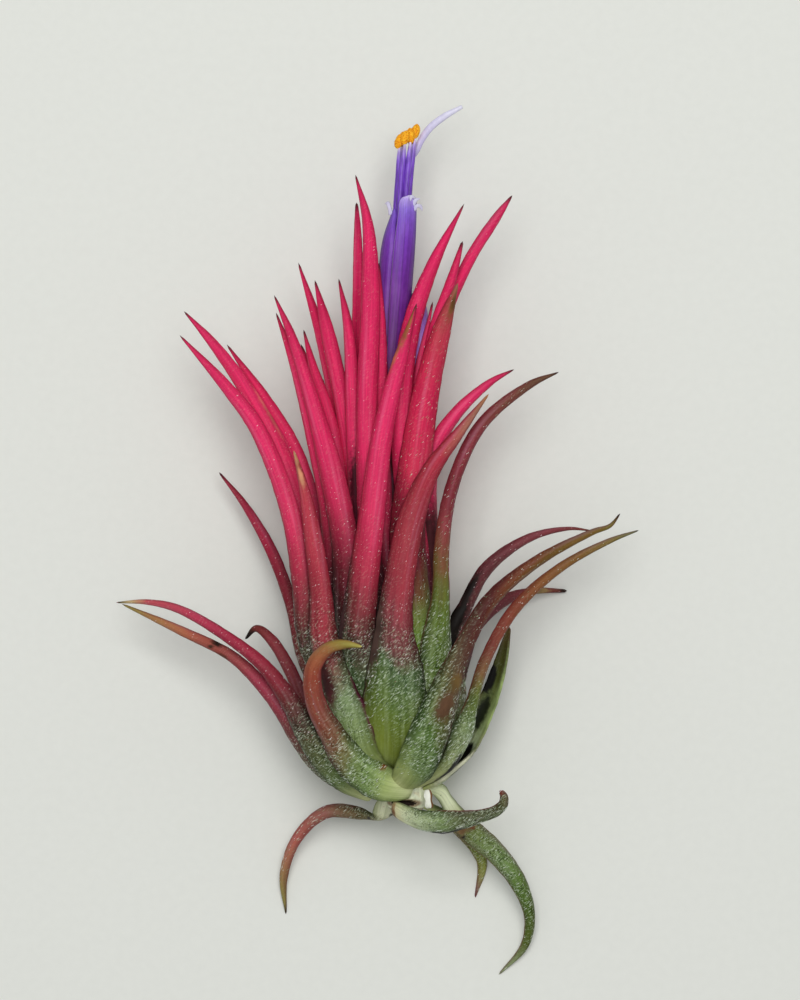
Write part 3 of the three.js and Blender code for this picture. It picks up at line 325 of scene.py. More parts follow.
# Scars, blotches and dark margins of each leaf, and the painted shadows and highlights where leaves shade
# and light one another: share of its length, place across it (-1 to 1), half length in millimetres, half
# width as a share of the leaf's, colour.
# Black: of a tear, and of painted shadow deep in the gaps between leaves.
BLACK_TEAR_AND_SHADOW = (14, 12, 9)
MARKS = {
    "front_tall": [
        (0.95, 0.25, 3, 0.6, (170, 98, 62)), (0.89, 0.85, 2.6, 0.4, (186, 100, 78)),
        # The last mark is painted shade in the dark gap by its margin.
        (0.42, 0.95, 4, 0.32, (66, 36, 38))],
    "right_front": [(0.5, -1, 5.5, 0.25, (140, 44, 58))],
    "right_pink": [(0.47, 0, 6.6, 2.4, (70, 26, 32))],
    # left_centre: painted shade in the dark gap deep in the crown.
    "left_centre": [(0.58, -0.4, 5.6, 1.1, (66, 10, 26))],
    "left_tall": [(0.7, -0.95, 3.4, 0.14, (208, 96, 98))],
    "right_tall": [(0.95, -0.4, 2.4, 0.6, (120, 78, 42))],
    "front_centre": [(0.22, 1, 5, 0.07, (70, 22, 36)), (0.43, 0.95, 4.2, 0.4, (72, 54, 48))],
    "front_left": [
        # The second mark is painted shadow where the curled leaf shades front_left.
        (0.3, -1, 4.4, 0.09, (72, 18, 36)), (0.385, 0.32, 3.6, 0.46, (72, 34, 36)),
        (0.98, 0, 1.2, 1.6, (226, 150, 118)), (0.91, -0.3, 1.3, 0.5, (208, 138, 106))],
    "side_left_low": [
        (0.79, -0.8, 0.7, 0.5, (40, 24, 18)), (0.8, 0.1, 0.4, 0.4, (74, 44, 32)),
        (0.765, 0.6, 0.8, 0.4, (92, 48, 36))],
    "front_right_low": [(0.39, -0.35, 1.2, 0.5, (108, 84, 46)), (0.34, -0.15, 2.2, 0.5, (94, 66, 46))],
    "curled": [(0.165, -0.95, 0.42, 0.24, (104, 66, 34))],
    "droop_left": [(0.12, 0.5, 0.35, 0.3, (34, 26, 20)), (0.27, -0.4, 0.35, 0.3, (34, 26, 20))],
    "droop_right": [
        (0.4, -0.5, 0.6, 0.4, (136, 104, 70)), (0.42, 0.35, 0.5, 0.4, (112, 72, 48)),
        (0.43, -0.75, 0.3, 0.2, (44, 28, 22))],
    "silver_front": [(0.01, 0, 0.35, 1.2, (128, 92, 60)), (0.34, -0.95, 3, 0.42, (30, 29, 19))],
    "side_right_low": [
        # side_right_low: a black tear on its edge, then painted shade in its channel, painted highlight on
        # its lit rims, and painted shadow in the gap under right_low.
        (0.75, -0.75, 1.35, 0.42, BLACK_TEAR_AND_SHADOW), (0.58, -0.2, 3, 0.6, (30, 36, 18)),
        (0.66, 0.85, 7, 0.25, (140, 158, 98)), (0.24, 0.95, 3, 0.3, (214, 214, 184)),
        (0.31, 0.2, 1.9, 0.4, BLACK_TEAR_AND_SHADOW)],
    # right_low: painted shadow in the black gap along its edge.
    "right_low": [(0.125, -0.28, 1.9, 0.3, BLACK_TEAR_AND_SHADOW)],
    "right_maroon": [
        # right_maroon: painted shadow on its dark, shaded lower side.
        (0.44, 0.55, 3.2, 0.8, (20, 14, 10)), (0.54, 0.7, 3, 0.45, (26, 17, 14)),
        (0.36, 0, 1.6, 1.4, (20, 14, 10))],
    "right_under": [(0.88, 0, 1.3, 1.3, (156, 126, 84)), (1, 0, 1.2, 1.5, (20, 15, 13))],
}

# How abruptly a mark ends: the black of tears and of painted shadows has the sharper edge.
MARK_EDGE = 1.2
BLACK_TEAR_AND_SHADOW_EDGE = 4.0


def linear(colour):
    """An sRGB colour as the linear one that shaders take."""
    channels = [value / 255 for value in colour]
    return [c / 12.92 if c <= 0.04045 else ((c + 0.055) / 1.055) ** 2.4 for c in channels] + [1.0]


def smoothstep(value, low, high):
    share = np.clip((value - low) / (high - low), 0, 1)
    return share * share * (3 - 2 * share)


def unit(vectors):
    return vectors / np.linalg.norm(vectors, axis=-1, keepdims=True)


def layers(*values):
    """Values that stretch to one grid, side by side at each of its points."""
    return np.stack(np.broadcast_arrays(*values), -1)


def travelled(points):
    """How far each point lies along its route."""
    return np.concatenate([[0], np.cumsum(np.linalg.norm(np.diff(points, axis=0), axis=1))])


def spline(points, shares):
    """Points at those shares of a centripetal Catmull-Rom curve. A further column goes along."""
    knots = np.array(points, float)
    knots = np.vstack([2 * knots[0] - knots[1], knots, 2 * knots[-1] - knots[-2]])
    gaps = np.sqrt(np.linalg.norm(np.diff(knots[:, :3], axis=0), axis=1))
    place = np.asarray(shares, float) * (len(points) - 1)
    index = np.minimum(place.astype(int), len(points) - 2)
    t = (place - index)[:, None]
    p0, p1, p2, p3 = (knots[index + step] for step in range(4))
    d0, d1, d2 = (gaps[index + step][:, None] for step in range(3))
    start = ((p1 - p0) / d0 - (p2 - p0) / (d0 + d1) + (p2 - p1) / d1) * d1
    end = ((p2 - p1) / d1 - (p3 - p1) / (d1 + d2) + (p3 - p2) / d2) * d1
    return (
        p1 * (2 * t**3 - 3 * t**2 + 1)
        + start * (t**3 - 2 * t**2 + t)
        + p2 * (3 * t**2 - 2 * t**3)
        + end * (t**3 - t**2)
    )


def loft(rings, ends=None):
    """Points and faces of a closed loft: its wall, and triangles at each end round a middle point."""
    stations, corners = rings.shape[:2]
    last_ring = (stations - 1) * corners
    end = stations * corners
    sides = [(corner, (corner + 1) % corners) for corner in range(corners)]
    faces = []
    for ring in range(0, last_ring, corners):
        faces += [(ring + a, ring + corners + a, ring + corners + b, ring + b) for a, b in sides]
    for a, b in sides:
        faces += [(end, a, b), (end + 1, last_ring + b, last_ring + a)]
    if ends is None:
        ends = [rings[0].mean(0), rings[-1].mean(0)]
    return np.vstack([rings.reshape(-1, 3), ends]), faces


def ended(grid):
    """A grid's values point by point, with the first and the last again for the loft's two middle points."""
    values = grid.reshape(-1, grid.shape[-1])
    return np.vstack([values, values[0], values[-1]])


def rod(points, radii, sides=12, steps=40, flat=1.0):
    """A rod along a route, flattened by that share in the route's plane, and how far along its points lie."""
    shares = np.linspace(0, 1, steps)
    route = spline([(*point, radius) for point, radius in zip(points, radii)], shares)
    tangents = unit(np.gradient(route[:, :3], axis=0))
    turn = math.tau * np.arange(sides)[:, None] / sides
    normal = np.array([0.0, 0.0, 1.0])
    rings = []
    for (*centre, radius), tangent in zip(route, tangents):
        normal = normal - tangent * (normal @ tangent)
        normal /= np.linalg.norm(normal)
        side = np.cross(tangent, normal)
        rings.append(centre + radius * (np.cos(turn) * side + flat * np.sin(turn) * normal))
    shape, faces = loft(np.array(rings), [route[0, :3], route[-1, :3]])
    return shape, faces, ended(layers(np.repeat(shares, sides), 0, 0))


def joined(parts):
    """Several parts, each its points, faces and the points' values, as one."""
    shapes, faces, values = [], [], []
    for shape, part_faces, part_values in parts:
        start = sum(map(len, shapes))
        faces += [tuple(corner + start for corner in face) for face in part_faces]
        shapes.append(shape)
        values.append(part_values)
    return np.vstack(shapes), faces, np.vstack(values)


def add_object(name, data):
    thing = bpy.data.objects.new(name, data)
    bpy.context.scene.collection.objects.link(thing)
    return thing


def add_piece(name, shape, faces, materials, slot, node=None, smooth=True, **attributes):
    """A mesh of points in millimetres from the foot of the stem. It stands for the node, where one is given.

    Each attribute holds three or four numbers for each point, for the piece's material to read.
    """
    mesh = bpy.data.meshes.new(name)
    mesh.from_pydata(((shape + FOOT) * MM).tolist(), [], faces)
    mesh.polygons.foreach_set("use_smooth", [smooth] * len(mesh.polygons))
    for material in materials:
        mesh.materials.append(material)
    mesh.update()
    for key, values in attributes.items():
        kind, field = ("FLOAT_VECTOR", "vector") if values.shape[1] == 3 else ("FLOAT_COLOR", "color")
        attribute = mesh.attributes.new(key, kind, "POINT")
        attribute.data.foreach_set(field, values.astype(np.float32).ravel())
    piece = add_object(name, mesh)
    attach(piece, "root")
    if node:
        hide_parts(node)
    return piece


class Shader:
    """A material under construction."""

    def __init__(self, name):
        self.material = bpy.data.materials.new(name)
        self.material.use_nodes = True
        self.tree = self.material.node_tree
        self.surface = self.tree.nodes["Principled BSDF"]

    def feed(self, socket, value):
        """Feeds a socket with another node's output or with a number or colour."""
        if isinstance(value, bpy.types.NodeSocket):
            self.tree.links.new(value, socket)
        else:
            socket.default_value = value

    def node(self, kind, inputs=None, **settings):
        """A new node. Its inputs are given by their names or numbers."""
        node = self.tree.nodes.new(kind)
        for name, value in settings.items():
            setattr(node, name, value)
        for key, value in (inputs or {}).items():
            self.feed(node.inputs[key], value)
        return node

    def stored(self, name):
        """The outputs of one of the piece's attributes."""
        return self.node("ShaderNodeAttribute", attribute_name=name).outputs

    def place(self):
        return self.node("ShaderNodeTexCoord").outputs["Object"]

    def split(self, vector):
        return self.node("ShaderNodeSeparateXYZ", {0: vector}).outputs

    def math(self, operation, first, second, third=0.0):
        return self.node("ShaderNodeMath", {0: first, 1: second, 2: third}, operation=operation).outputs[0]

    def times(self, first, second):
        return self.math("MULTIPLY", first, second)

    def noise(self, vector, scale, detail):
        inputs = {"Vector": vector, "Scale": scale, "Detail": detail}
        return self.node("ShaderNodeTexNoise", inputs).outputs["Fac"]

    def scaled(self, vector, scale, turn=0.0):
        inputs = {"Vector": vector, "Rotation": (0, 0, turn), "Scale": scale}
        return self.node("ShaderNodeMapping", inputs).outputs[0]

    def grain(self, vector, scale, detail=2.0):
        """Noise that is stretched by its own scale each way."""
        return self.noise(self.scaled(vector, scale), 1.0, detail)

    def ramp(self, value, stops):
        """A colour that follows the value through (place, sRGB colour) stops."""
        node = self.node("ShaderNodeValToRGB", {0: value})
        elements = node.color_ramp.elements
        while len(elements) < len(stops):
            elements.new(0.5)
        for element, (place, colour) in zip(elements, stops):
            element.position = place
            element.color = linear(colour)
        return node.outputs[0]

    def range(self, value, low, high, low_out=0.0, high_out=1.0):
        inputs = dict(enumerate((value, low, high, low_out, high_out)))
        return self.node("ShaderNodeMapRange", inputs, interpolation_type="SMOOTHSTEP").outputs[0]

    def mix(self, share, first, second, mode="MIX"):
        inputs = {0: share, 6: first, 7: second}
        return self.node("ShaderNodeMix", inputs, data_type="RGBA", blend_type=mode).outputs[2]

    def varied(self, colour, noise, darkest, lightest):
        """The colour times a factor between those two, as the noise has it."""
        return self.mix(1.0, colour, self.range(noise, 0.3, 0.7, darkest, lightest), "MULTIPLY")

    def bump(self, height, distance, strength):
        inputs = {"Distance": distance, "Strength": strength, "Height": height}
        self.feed(self.surface.inputs["Normal"], self.node("ShaderNodeBump", inputs).outputs[0])

    def finish(self, colour, roughness, specular=0.5):
        self.feed(self.surface.inputs["Base Color"], colour)
        self.feed(self.surface.inputs["Roughness"], roughness)
        self.surface.inputs["Specular IOR Level"].default_value = specular
        return self.material


def sheath_points(azimuth, width, rank):
    """The sheath leaves the stem almost square to it, then rises as part of the bulb."""
    age = rank / (len(LEAVES) - 1)
    around = math.radians(azimuth)
    height = BULB["lowest"] + (BULB["highest"] - BULB["lowest"]) * age ** BULB["spacing"]
    belly = BULB["outer_radius"] + (BULB["inner_radius"] - BULB["outer_radius"]) * age
    flare = BULB["root_radius"] + (belly - BULB["root_radius"]) * BULB["flare"]
    rings = [
        (BULB["root_radius"], 0, BULB["root_width"]),
        (flare, BULB["flare_rise"], width * BULB["flare_width"]),
        (belly, BULB["belly_rise"], width),
    ]
    return [(r * math.cos(around), height + rise, r * math.sin(around), wide) for r, rise, wide in rings]


class Leaf:
    """One leaf's surface, as a grid of points from its base to its tip and round its section."""

    def __init__(self, name, points, root_inwards, blade_inwards, seed):
        self.name = name
        self.shares = np.linspace(0, 1, STATIONS) ** STATION_SPACING
        route = spline(points, self.shares)
        self.centre = route[:, :3]
        self.along = travelled(self.centre)
        self.width = np.clip(route[:, 3], LEAST_WIDTH, None)
        self.tangent = unit(np.gradient(self.centre, axis=0))
        root, blade = np.array(root_inwards, float), np.array(blade_inwards, float)
        inwards = root + (blade - root) * smoothstep(self.shares, TURN_START, TURN_FULL)[:, None]
        normal = unit(inwards - self.tangent * (inwards * self.tangent).sum(axis=1, keepdims=True))
        sideways, inward = self._sections(seed)
        self.sideways = sideways
        self.grid = (
            self.centre[:, None]
            + np.cross(self.tangent, normal)[:, None] * sideways[..., None]
            + normal[:, None] * inward[..., None]
        )
        self.grid[..., 2] = np.maximum(self.grid[..., 2], -FOOT[2])

    def _sections(self, seed):
        """How far each point lies across the leaf from its middle line, and how far in towards the stem."""
        waves = np.random.default_rng(seed).uniform(0, math.tau, len(RIPPLES))
        ripple = sum(high * np.sin(self.along * often + wave) for (high, often), wave in zip(RIPPLES, waves))
        width = self.width * (1 + RIPPLE_SHARE * ripple)
        bend = SHEATH_BEND + (BLADE_BEND - SHEATH_BEND) * smoothstep(self.shares, BLADE_START, BLADE_FULL)
        thick = np.minimum(THICKNESS, THINNEST + THINNING * self.width)
        closing = np.sqrt(np.clip((self.along[-1] - self.along) / TIP_CLOSES, 0, 1))
        width, thick = width * closing, thick * closing
        places = -np.cos(np.linspace(0, math.pi, ACROSS + 1))
        self.places = np.concatenate([places, places[-2:0:-1]])
        self.outer = np.arange(len(self.places)) <= ACROSS
        middle = (np.abs(self.places) ** CHANNEL_POWER + CHANNEL_RISE - 1) * (bend * width)[:, None]
        half = 0.5 * thick[:, None] * np.sqrt(1 - MARGIN_THINNING * np.abs(self.places) ** MARGIN_POWER)
        return self.places * width[:, None] / 2, middle + np.where(self.outer, -1, 1) * half

    def outer_normals(self):
        """Outward directions of the outer face's points."""
        face = self.grid[:, : ACROSS + 1]
        return unit(np.cross(np.gradient(face, axis=1), np.gradient(face, axis=0)) + 1e-9)

    def coordinates(self, measure):
        """What the leaf's material reads: how far each point is from base and tip, and its place across."""
        if measure == "height":
            tongue = TONGUE * (1 - self.places**2) - TONGUE / 2
            rise = (self.grid[..., 1] + tongue) / TALLEST
        else:
            rise = self.shares[:, None]
        rise = rise + TILTS.get(self.name, 0.0) * self.places
        left = (self.along[-1] - self.along)[:, None] / LEFT_UNIT
        paint = layers(rise, np.abs(self.places), left)
        strip = layers(self.along[:, None], self.sideways, np.where(self.outer, 1.0, 0.0))
        return {"paint": ended(paint), "strip": ended(strip)}

    def marks(self):
        """The leaf's scars and painted shadows and highlights, as a colour and a strength at each point."""
        colour = np.zeros((*self.grid.shape[:2], 4))
        for share, place, long, wide, tone in MARKS.get(self.name, []):
            middle = np.interp(share, self.shares, self.along)
            far = ((self.along - middle)[:, None] / long) ** 2 + ((self.places - place) / wide) ** 2
            strength = np.clip((BLACK_TEAR_AND_SHADOW_EDGE if tone == BLACK_TEAR_AND_SHADOW else MARK_EDGE) * np.exp(-far), 0, 1)
            stronger = strength > colour[..., 3]
            colour[stronger] = linear(tone)
            colour[..., 3][stronger] = strength[stronger]
        return colour


MATERIALS = {}

# For each measure of the paints: its reach, how far the mottling shifts the stops, where the sheath ends,
# and where the felt of silvery scales starts, is full, thins and is thin. Some paints' felt is their own.
MEASURES = {
    "height": (TALLEST, 0.05, 22 / TALLEST, (7.5, 14, 17.6, 27.5)),
    "length": (1.0, 0.08, 0.4, (0.08, 0.2, 0.32, 0.5)),
}
FELTS = {
    "silver": (0.04, 0.14, 0.9, 1.2), "drooping": (0.34, 0.46, 0.6, 1.1), "short": (0.3, 0.4, 0.6, 1),
    "flank": (6, 9.5, 17.6, 27.5),
}

# The felt's flecks run up to the right. Cells per metre along them, across them and in depth, and their
# tones: the silvery flecks, and the darker ground between them, which is partly painted shade.
FLECK_TURN = math.radians(-40)
FLECK_CELLS = (2100, 7000, 7000)
FELT = (204, 216, 188)
FELT_GROUND_AND_SHADE = (28, 40, 18)

# How strongly the margin darkens: the usual share, and the paints that have another.
MARGIN = 0.35
MARGINS = {
    "pink": 0.15, "heart": 0.2, "silver": 0.6, "drooping": 0.4, "short": 0.4, "salmon": 0.3, "dusty": 0.4,
    "flank": 0.4, "green": 0.1,
}

# Tones that change from the sheath to the blade, at these shares of the sheath's end: the pale bands' tone
# with painted highlight, the painted shade of the deep bands and of the leaf's sides, and the margin's. The
# shade that falls on the tip is a linear colour.
PALE_BAND_AND_HIGHLIGHT = [(0.8, (72, 78, 58)), (1.3, (74, 60, 72))]
PAINTED_SHADE = [(0.15, (206, 212, 190)), (0.5, (120, 130, 104)), (0.8, (120, 130, 104)), (1.3, (204, 160, 184))]
MARGIN_TONES = [(0.7, (36, 42, 22)), (1, (124, 14, 44))]
TIP_SHADE = (0.42, 0.55, 0.4, 1)


def leaf_material(paint):
    """Ramps from the sheath's tones to the blade's, with bands of tone, painted highlight and painted shade,
    streaks, painted shade on the sides, felt, dark rims, scars and painted shadows, and tip.
    """
    if paint in MATERIALS:
        return MATERIALS[paint]
    measure, tip_length, tip_colour, stops = PAINTS[paint]
    reach, jitter, sheath_end, felt_reach = MEASURES[measure]
    shader = Shader(f"leaf_{paint}")
    rise, rim, left = shader.split(shader.stored("paint")["Vector"])
    strip = shader.stored("strip")["Vector"]
    place = shader.place()
    mottle = shader.noise(place, 420, 3)
    streaks = shader.grain(strip, (0.2, 5, 1), 3)
    flecks = shader.grain(shader.scaled(place, (1, 1, 1), FLECK_TURN), FLECK_CELLS)
    level = shader.math("ADD", rise, shader.math("MULTIPLY_ADD", mottle, jitter, -jitter / 2))

    def zones(stops):
        return shader.ramp(level, [(sheath_end * share, tone) for share, tone in stops])

    # Lengthwise: fine streaks, and broader bands that are paler or deeper, partly their own tone and partly
    # painted highlight and painted shade. The sides get painted shade, darker towards the margins.
    base = shader.ramp(level, [(place / reach, tone) for place, *tone in stops])
    colour = shader.varied(base, streaks, 0.88, 1.1)
    bands = shader.grain(strip, (0.05, 1.3, 1))
    colour = shader.mix(shader.range(bands, 0.5, 0.7, 0, 0.9), colour, zones(PALE_BAND_AND_HIGHLIGHT), "SCREEN")
    shade = zones(PAINTED_SHADE)
    colour = shader.mix(shader.range(bands, 0.5, 0.32, 0, 0.4), colour, shade, "MULTIPLY")
    # Painted shade: the sides darken towards the margins, more so on the blade than on the sheath.
    side_shade = shader.range(rise, sheath_end * 0.9, sheath_end * 1.4, 0.9, 0.55)
    colour = shader.mix(shader.times(shader.range(rim, 0.45, 1), side_shade), colour, shade, "MULTIPLY")

    # The sheath's felt of silvery scales, in clumps, which thins out up the blade and towards the foot.
    starts, full, thins, thin = (value / reach for value in FELTS.get(paint, felt_reach))
    felt = shader.range(level, thins, thin, 1, 0.12)
    felt = shader.times(felt, shader.range(level, starts, full, 0.06, 1))
    felt = shader.times(felt, shader.range(shader.noise(place, 800, 1), 0.36, 0.6, 0.35, 1))
    silvery = shader.times(shader.range(flecks, 0.54, 0.68), felt)
    colour = shader.mix(shader.times(silvery, 0.7), colour, linear(FELT))
    # Between the flecks the skin darkens: partly its own dark ground, partly painted shade in the dips.
    ground_and_shade = shader.times(shader.range(flecks, 0.5, 0.36), felt)
    colour = shader.mix(shader.times(ground_and_shade, 0.75), colour, linear(FELT_GROUND_AND_SHADE))

    # Dark margins, the scars with the painted shadows and highlights that the marks hold, and the dusky, dry
    # tip.
    margin = shader.times(shader.range(rim, 0.9, 1), MARGINS.get(paint, MARGIN))
    colour = shader.mix(margin, colour, zones(MARGIN_TONES))
    scars_and_shadows = shader.stored("mark")
    ragged = shader.math("MULTIPLY_ADD", shader.noise(place, 2200, 2), 0.7, -0.35)
    ragged = shader.range(shader.math("ADD", scars_and_shadows["Alpha"], ragged), 0.12, 0.9)
    colour = shader.mix(ragged, colour, shader.varied(scars_and_shadows["Color"], mottle, 0.7, 1.3))
    colour = shader.mix(shader.range(left, 0, 0.7, 0.45, 0), colour, TIP_SHADE, "MULTIPLY")
    colour = shader.mix(shader.range(left, 0, tip_length / LEFT_UNIT, 1, 0), colour, linear(tip_colour))

    shader.bump(shader.math("ADD", shader.times(streaks, 0.6), shader.times(flecks, silvery)), 0.00012, 0.6)
    MATERIALS[paint] = shader.finish(colour, shader.range(mottle, 0.3, 0.7, 0.5, 0.66), 0.13)
    return MATERIALS[paint]


def plain_material(name, colour, roughness, specular=0.5):
    """One even finish, for what is finer than any pattern on it would be."""
    if name not in MATERIALS:
        MATERIALS[name] = Shader(name).finish(linear(colour), roughness, specular)
    return MATERIALS[name]


def add_leaf(name, slot, paint, root_inwards, blade_inwards, points, seed):
    leaf = Leaf(name, points, root_inwards, blade_inwards, seed)
    shape, faces = loft(leaf.grid, [leaf.centre[0] - 0.1 * leaf.tangent[0], leaf.grid[-1].mean(0)])
    attributes = {**leaf.coordinates(PAINTS[paint][0]), "mark": ended(leaf.marks())}
    materials = [leaf_material(paint)]
    add_piece(f"leaf_{name}_skin", shape, faces, materials, f"leaf_{slot}", f"leaf_{name}", **attributes)
    return leaf


def inwards_at(degrees):
    """The direction from that bearing round the stem towards its axis."""
    around = math.radians(degrees)
    return (-math.cos(around), 0, -math.sin(around))


def add_leaves():
    """Every leaf, with its paint and what its scales are measured by."""
    leaves = []
    for rank, (name, slot, paint, azimuth, face, sheath, blade) in enumerate(LEAVES):
        points = [*sheath_points(azimuth, sheath, rank), *blade]
        leaf = add_leaf(name, slot, paint, inwards_at(azimuth), inwards_at(face), points, rank)
        leaves.append((leaf, paint, PAINTS[paint][0]))
    for seed, row in enumerate(OUTER_LEAVES, SEEDS["outer_leaves"]):
        leaves.append((add_leaf(*row, seed), row[2], "length"))
    for seed, row in enumerate(BASAL_LEAVES, SEEDS["basal_leaves"]):
        leaves.append((add_leaf(*row, seed), row[2], "basal"))
    return leaves


# Trichomes: the silvery scales. Each is a slim closed flake lying on the skin, slanted as the photo shows.
# It swings from that slant, keeps off the margins and sinks into the skin a little. Flakes vary between two
# sizes, and between clumps they are this much rarer.
FLAKE_SLANT = (0.8, 0.6, 0)
FLAKE_SWING = (0.83, -0.55, 0)
SWING_SHARE = 0.6
SWING_SPREAD = 0.3
FLAKE_REACH = 0.97
FLAKE_SINK = 0.02
FLAKE_SIZES = (0.6, 1.25)
RARER = 0.25
SHEATH_FLAKES = {"per_mm2": 14, "long": 0.2, "wide": 0.055, "lift": 0.05}
BLADE_FLAKES = {"per_mm2": 3.6, "long": 0.1, "wide": 0.06, "lift": 0.04}
HAIRS = {"per_mm2": 15, "long": 0.34, "wide": 0.055, "lift": 0.13}
SILVERS = {
    "bright": (244, 248, 238), "grey": (196, 210, 186), "green": (150, 172, 130), "dusk": (96, 120, 82),
}
ROSES = {"bright": (250, 230, 230), "dull": (218, 152, 158), "faint": (182, 92, 106)}

# Paints that are green or brown enough for the blade's scales to stay silver, and two leaves with scales
# further up.
SILVER_BLADES = ("brown", "olive", "rust", "curled", "green", "foot", "drooping", "short", "silver")
GREEN_BLADES = ("right_front", "right_tall")


def clumps(place):
    """From 0 to 1: where the scales stand close, in patches about a millimetre wide."""
    x, y, z = place.T
    waves = np.sin(2.1 * x + 1.3 * y + 0.5) * np.sin(1.7 * x - 2.3 * y + z + 1.1)
    finer = np.sin(4.3 * x + 3.1 * y - z) * np.sin(3.7 * x - 4.9 * y + 2)
    return smoothstep(waves + 0.7 * finer, -0.6, 0.7)


def felt_chance(name, measure, share, height):
    """How likely a felt scale is at that share of the leaf's length, or that height above the foot."""
    if name in GREEN_BLADES:
        return smoothstep(height, 8, 14) * (1 - 0.9 * smoothstep(height, 20, 28))
    if measure == "height":
        start = 5 if name == "front_left" else 8
        return smoothstep(height, start, start + 6) * (1 - smoothstep(height, 17, 22))
    if measure == "length":
        return smoothstep(share, 0.1, 0.18) * (1 - smoothstep(share, 0.3, 0.44))
    if name == "silver_front":
        return smoothstep(share, 0.05, 0.2)
    return smoothstep(share, 0.3, 0.5) * (0.6 - 0.4 * smoothstep(share, 0.6, 0.9))


def dot_chance(name, measure, share, height):
    """How likely one of the blade's short scales is there."""
    if name in GREEN_BLADES:
        return smoothstep(height, 26, 30) * (1 - 0.8 * smoothstep(height, 34, 46))
    if measure == "height":
        return smoothstep(height, 13, 20) * (1 - 0.8 * smoothstep(height, 24, 44))
    if measure == "length":
        return smoothstep(share, 0.2, 0.32) * (1 - 0.6 * smoothstep(share, 0.5, 0.9))
    return 0.3


def flakes_on(leaf, measure, draw, kind, chance):
    """Corners of that kind of flake, scattered over the outer face and thinned by their chance."""
    reached = np.concatenate([[0], np.cumsum(leaf.width[:-1] * np.diff(leaf.along))])
    count = int(reached[-1] * kind["per_mm2"])
    station = np.interp(draw.uniform(0, reached[-1], count), reached, np.arange(STATIONS))
    corner = draw.uniform(-FLAKE_REACH, FLAKE_REACH, count)
    corner = np.interp(corner, leaf.places[: ACROSS + 1], np.arange(ACROSS + 1))
    row, column = np.minimum(station.astype(int), STATIONS - 2), np.minimum(corner.astype(int), ACROSS - 1)
    down, over = (station - row)[:, None], (corner - column)[:, None]

    def at(grid):
        return (
            grid[row, column] * (1 - down) * (1 - over)
            + grid[row + 1, column] * down * (1 - over)
            + grid[row, column + 1] * (1 - down) * over
            + grid[row + 1, column + 1] * down * over
        )

    place, normal = at(leaf.grid), unit(at(leaf.outer_normals()))
    share = np.interp(station, np.arange(STATIONS), leaf.shares)
    chances = chance(leaf.name, measure, share, place[:, 1]) * (RARER + (1 - RARER) * clumps(place))
    kept = draw.uniform(0, 1, count) < chances * (1 - smoothstep(at(leaf.marks()[..., 3:])[:, 0], 0.4, 0.9))
    place, normal = place[kept], normal[kept]
    swing = np.outer(draw.normal(0, SWING_SPREAD, len(place)), FLAKE_SWING)
    slant = np.array(FLAKE_SLANT) + SWING_SHARE * swing
    lengthways = unit(slant - normal * (slant * normal).sum(1)[:, None] + 1e-6)
    sideways = np.cross(normal, lengthways)
    size = draw.uniform(*FLAKE_SIZES, (len(place), 1))
    long, wide = lengthways * (size * kind["long"]), sideways * (size * kind["wide"])
    low, high = place - FLAKE_SINK * normal, place + normal * kind["lift"]
    corners = np.stack([low - long, low + long, high - wide, high + wide], 1)
    corners[..., 2] = np.maximum(corners[..., 2], -FOOT[2])
    return corners.reshape(-1, 3)


def add_flakes(name, corners, colours, draw):
    count = len(corners) // 4
    faces = np.array([(0, 2, 3), (1, 3, 2), (0, 3, 1), (0, 1, 2)])
    faces = (faces + 4 * np.arange(count)[:, None, None]).reshape(-1, 3).tolist()
    materials = [plain_material(f"{name}_{tone}", colour, 0.55) for tone, colour in colours.items()]
    piece = add_piece(name, corners, faces, materials, "leaf_silver", smooth=False)
    tones = np.repeat(draw.integers(0, len(materials), count), 4)
    piece.data.polygons.foreach_set("material_index", tones.astype(np.int32))


def add_trichomes(leaves):
    draw = np.random.default_rng(SEEDS["scales"])
    silvery, rosy = [], []
    for leaf, paint, measure in leaves:
        kind = HAIRS if leaf.name == "silver_front" else SHEATH_FLAKES
        silvery.append(flakes_on(leaf, measure, draw, kind, felt_chance))
        dots = flakes_on(leaf, measure, draw, BLADE_FLAKES, dot_chance)
        (silvery if paint in SILVER_BLADES else rosy).append(dots)
    add_flakes("sheath_scales", np.vstack(silvery), SILVERS, draw)
    add_flakes("blade_scales", np.vstack(rosy), ROSES, draw)


# Flower: the corolla tube as (x, y, z, outer radius), from the stem's top to its mouth. Of each petal: its
# stations and corners, thickness, how deep its edge is tucked, its tip's least share of its breadth, and
# how its bend shifts its pattern.
COROLLA = [
    (0, 28.4, 0, 1.2), (-0.5, 38, 0.2, 1.4), (-0.7, 48, 0.6, 1.7), (-0.4, 57, 1, 2.05),
    (0.1, 65, 1.3, 2.2), (0.5, 69.4, 1.4, 2.1), (0.85, 72.4, 1.4, 1.85), (0.9, 74.8, 1.4, 1.8),
]
PETAL_STATIONS = 60
PETAL_CORNERS = 28
PETAL_THICKNESS = 0.2
PETAL_TUCK = 0.32
PETAL_NARROWEST = 0.03
PETAL_SHIFT = 9

# The petals, each with one edge tucked under the next: bearing of the free edge, arc in degrees, the share
# of the tube where the tip begins, the share where it ends, the tip's place across, its bluntness, and how
# far it bends inwards in millimetres.
PETALS = [
    (106, 128, 0.9, 1, 0.36, 2.4, -0.1),
    (-14, 128, 0.74, 0.9, 0.5, 1.6, 0.3),
    (226, 128, 0.66, 0.9, 0.62, 1.3, 0.55),
]

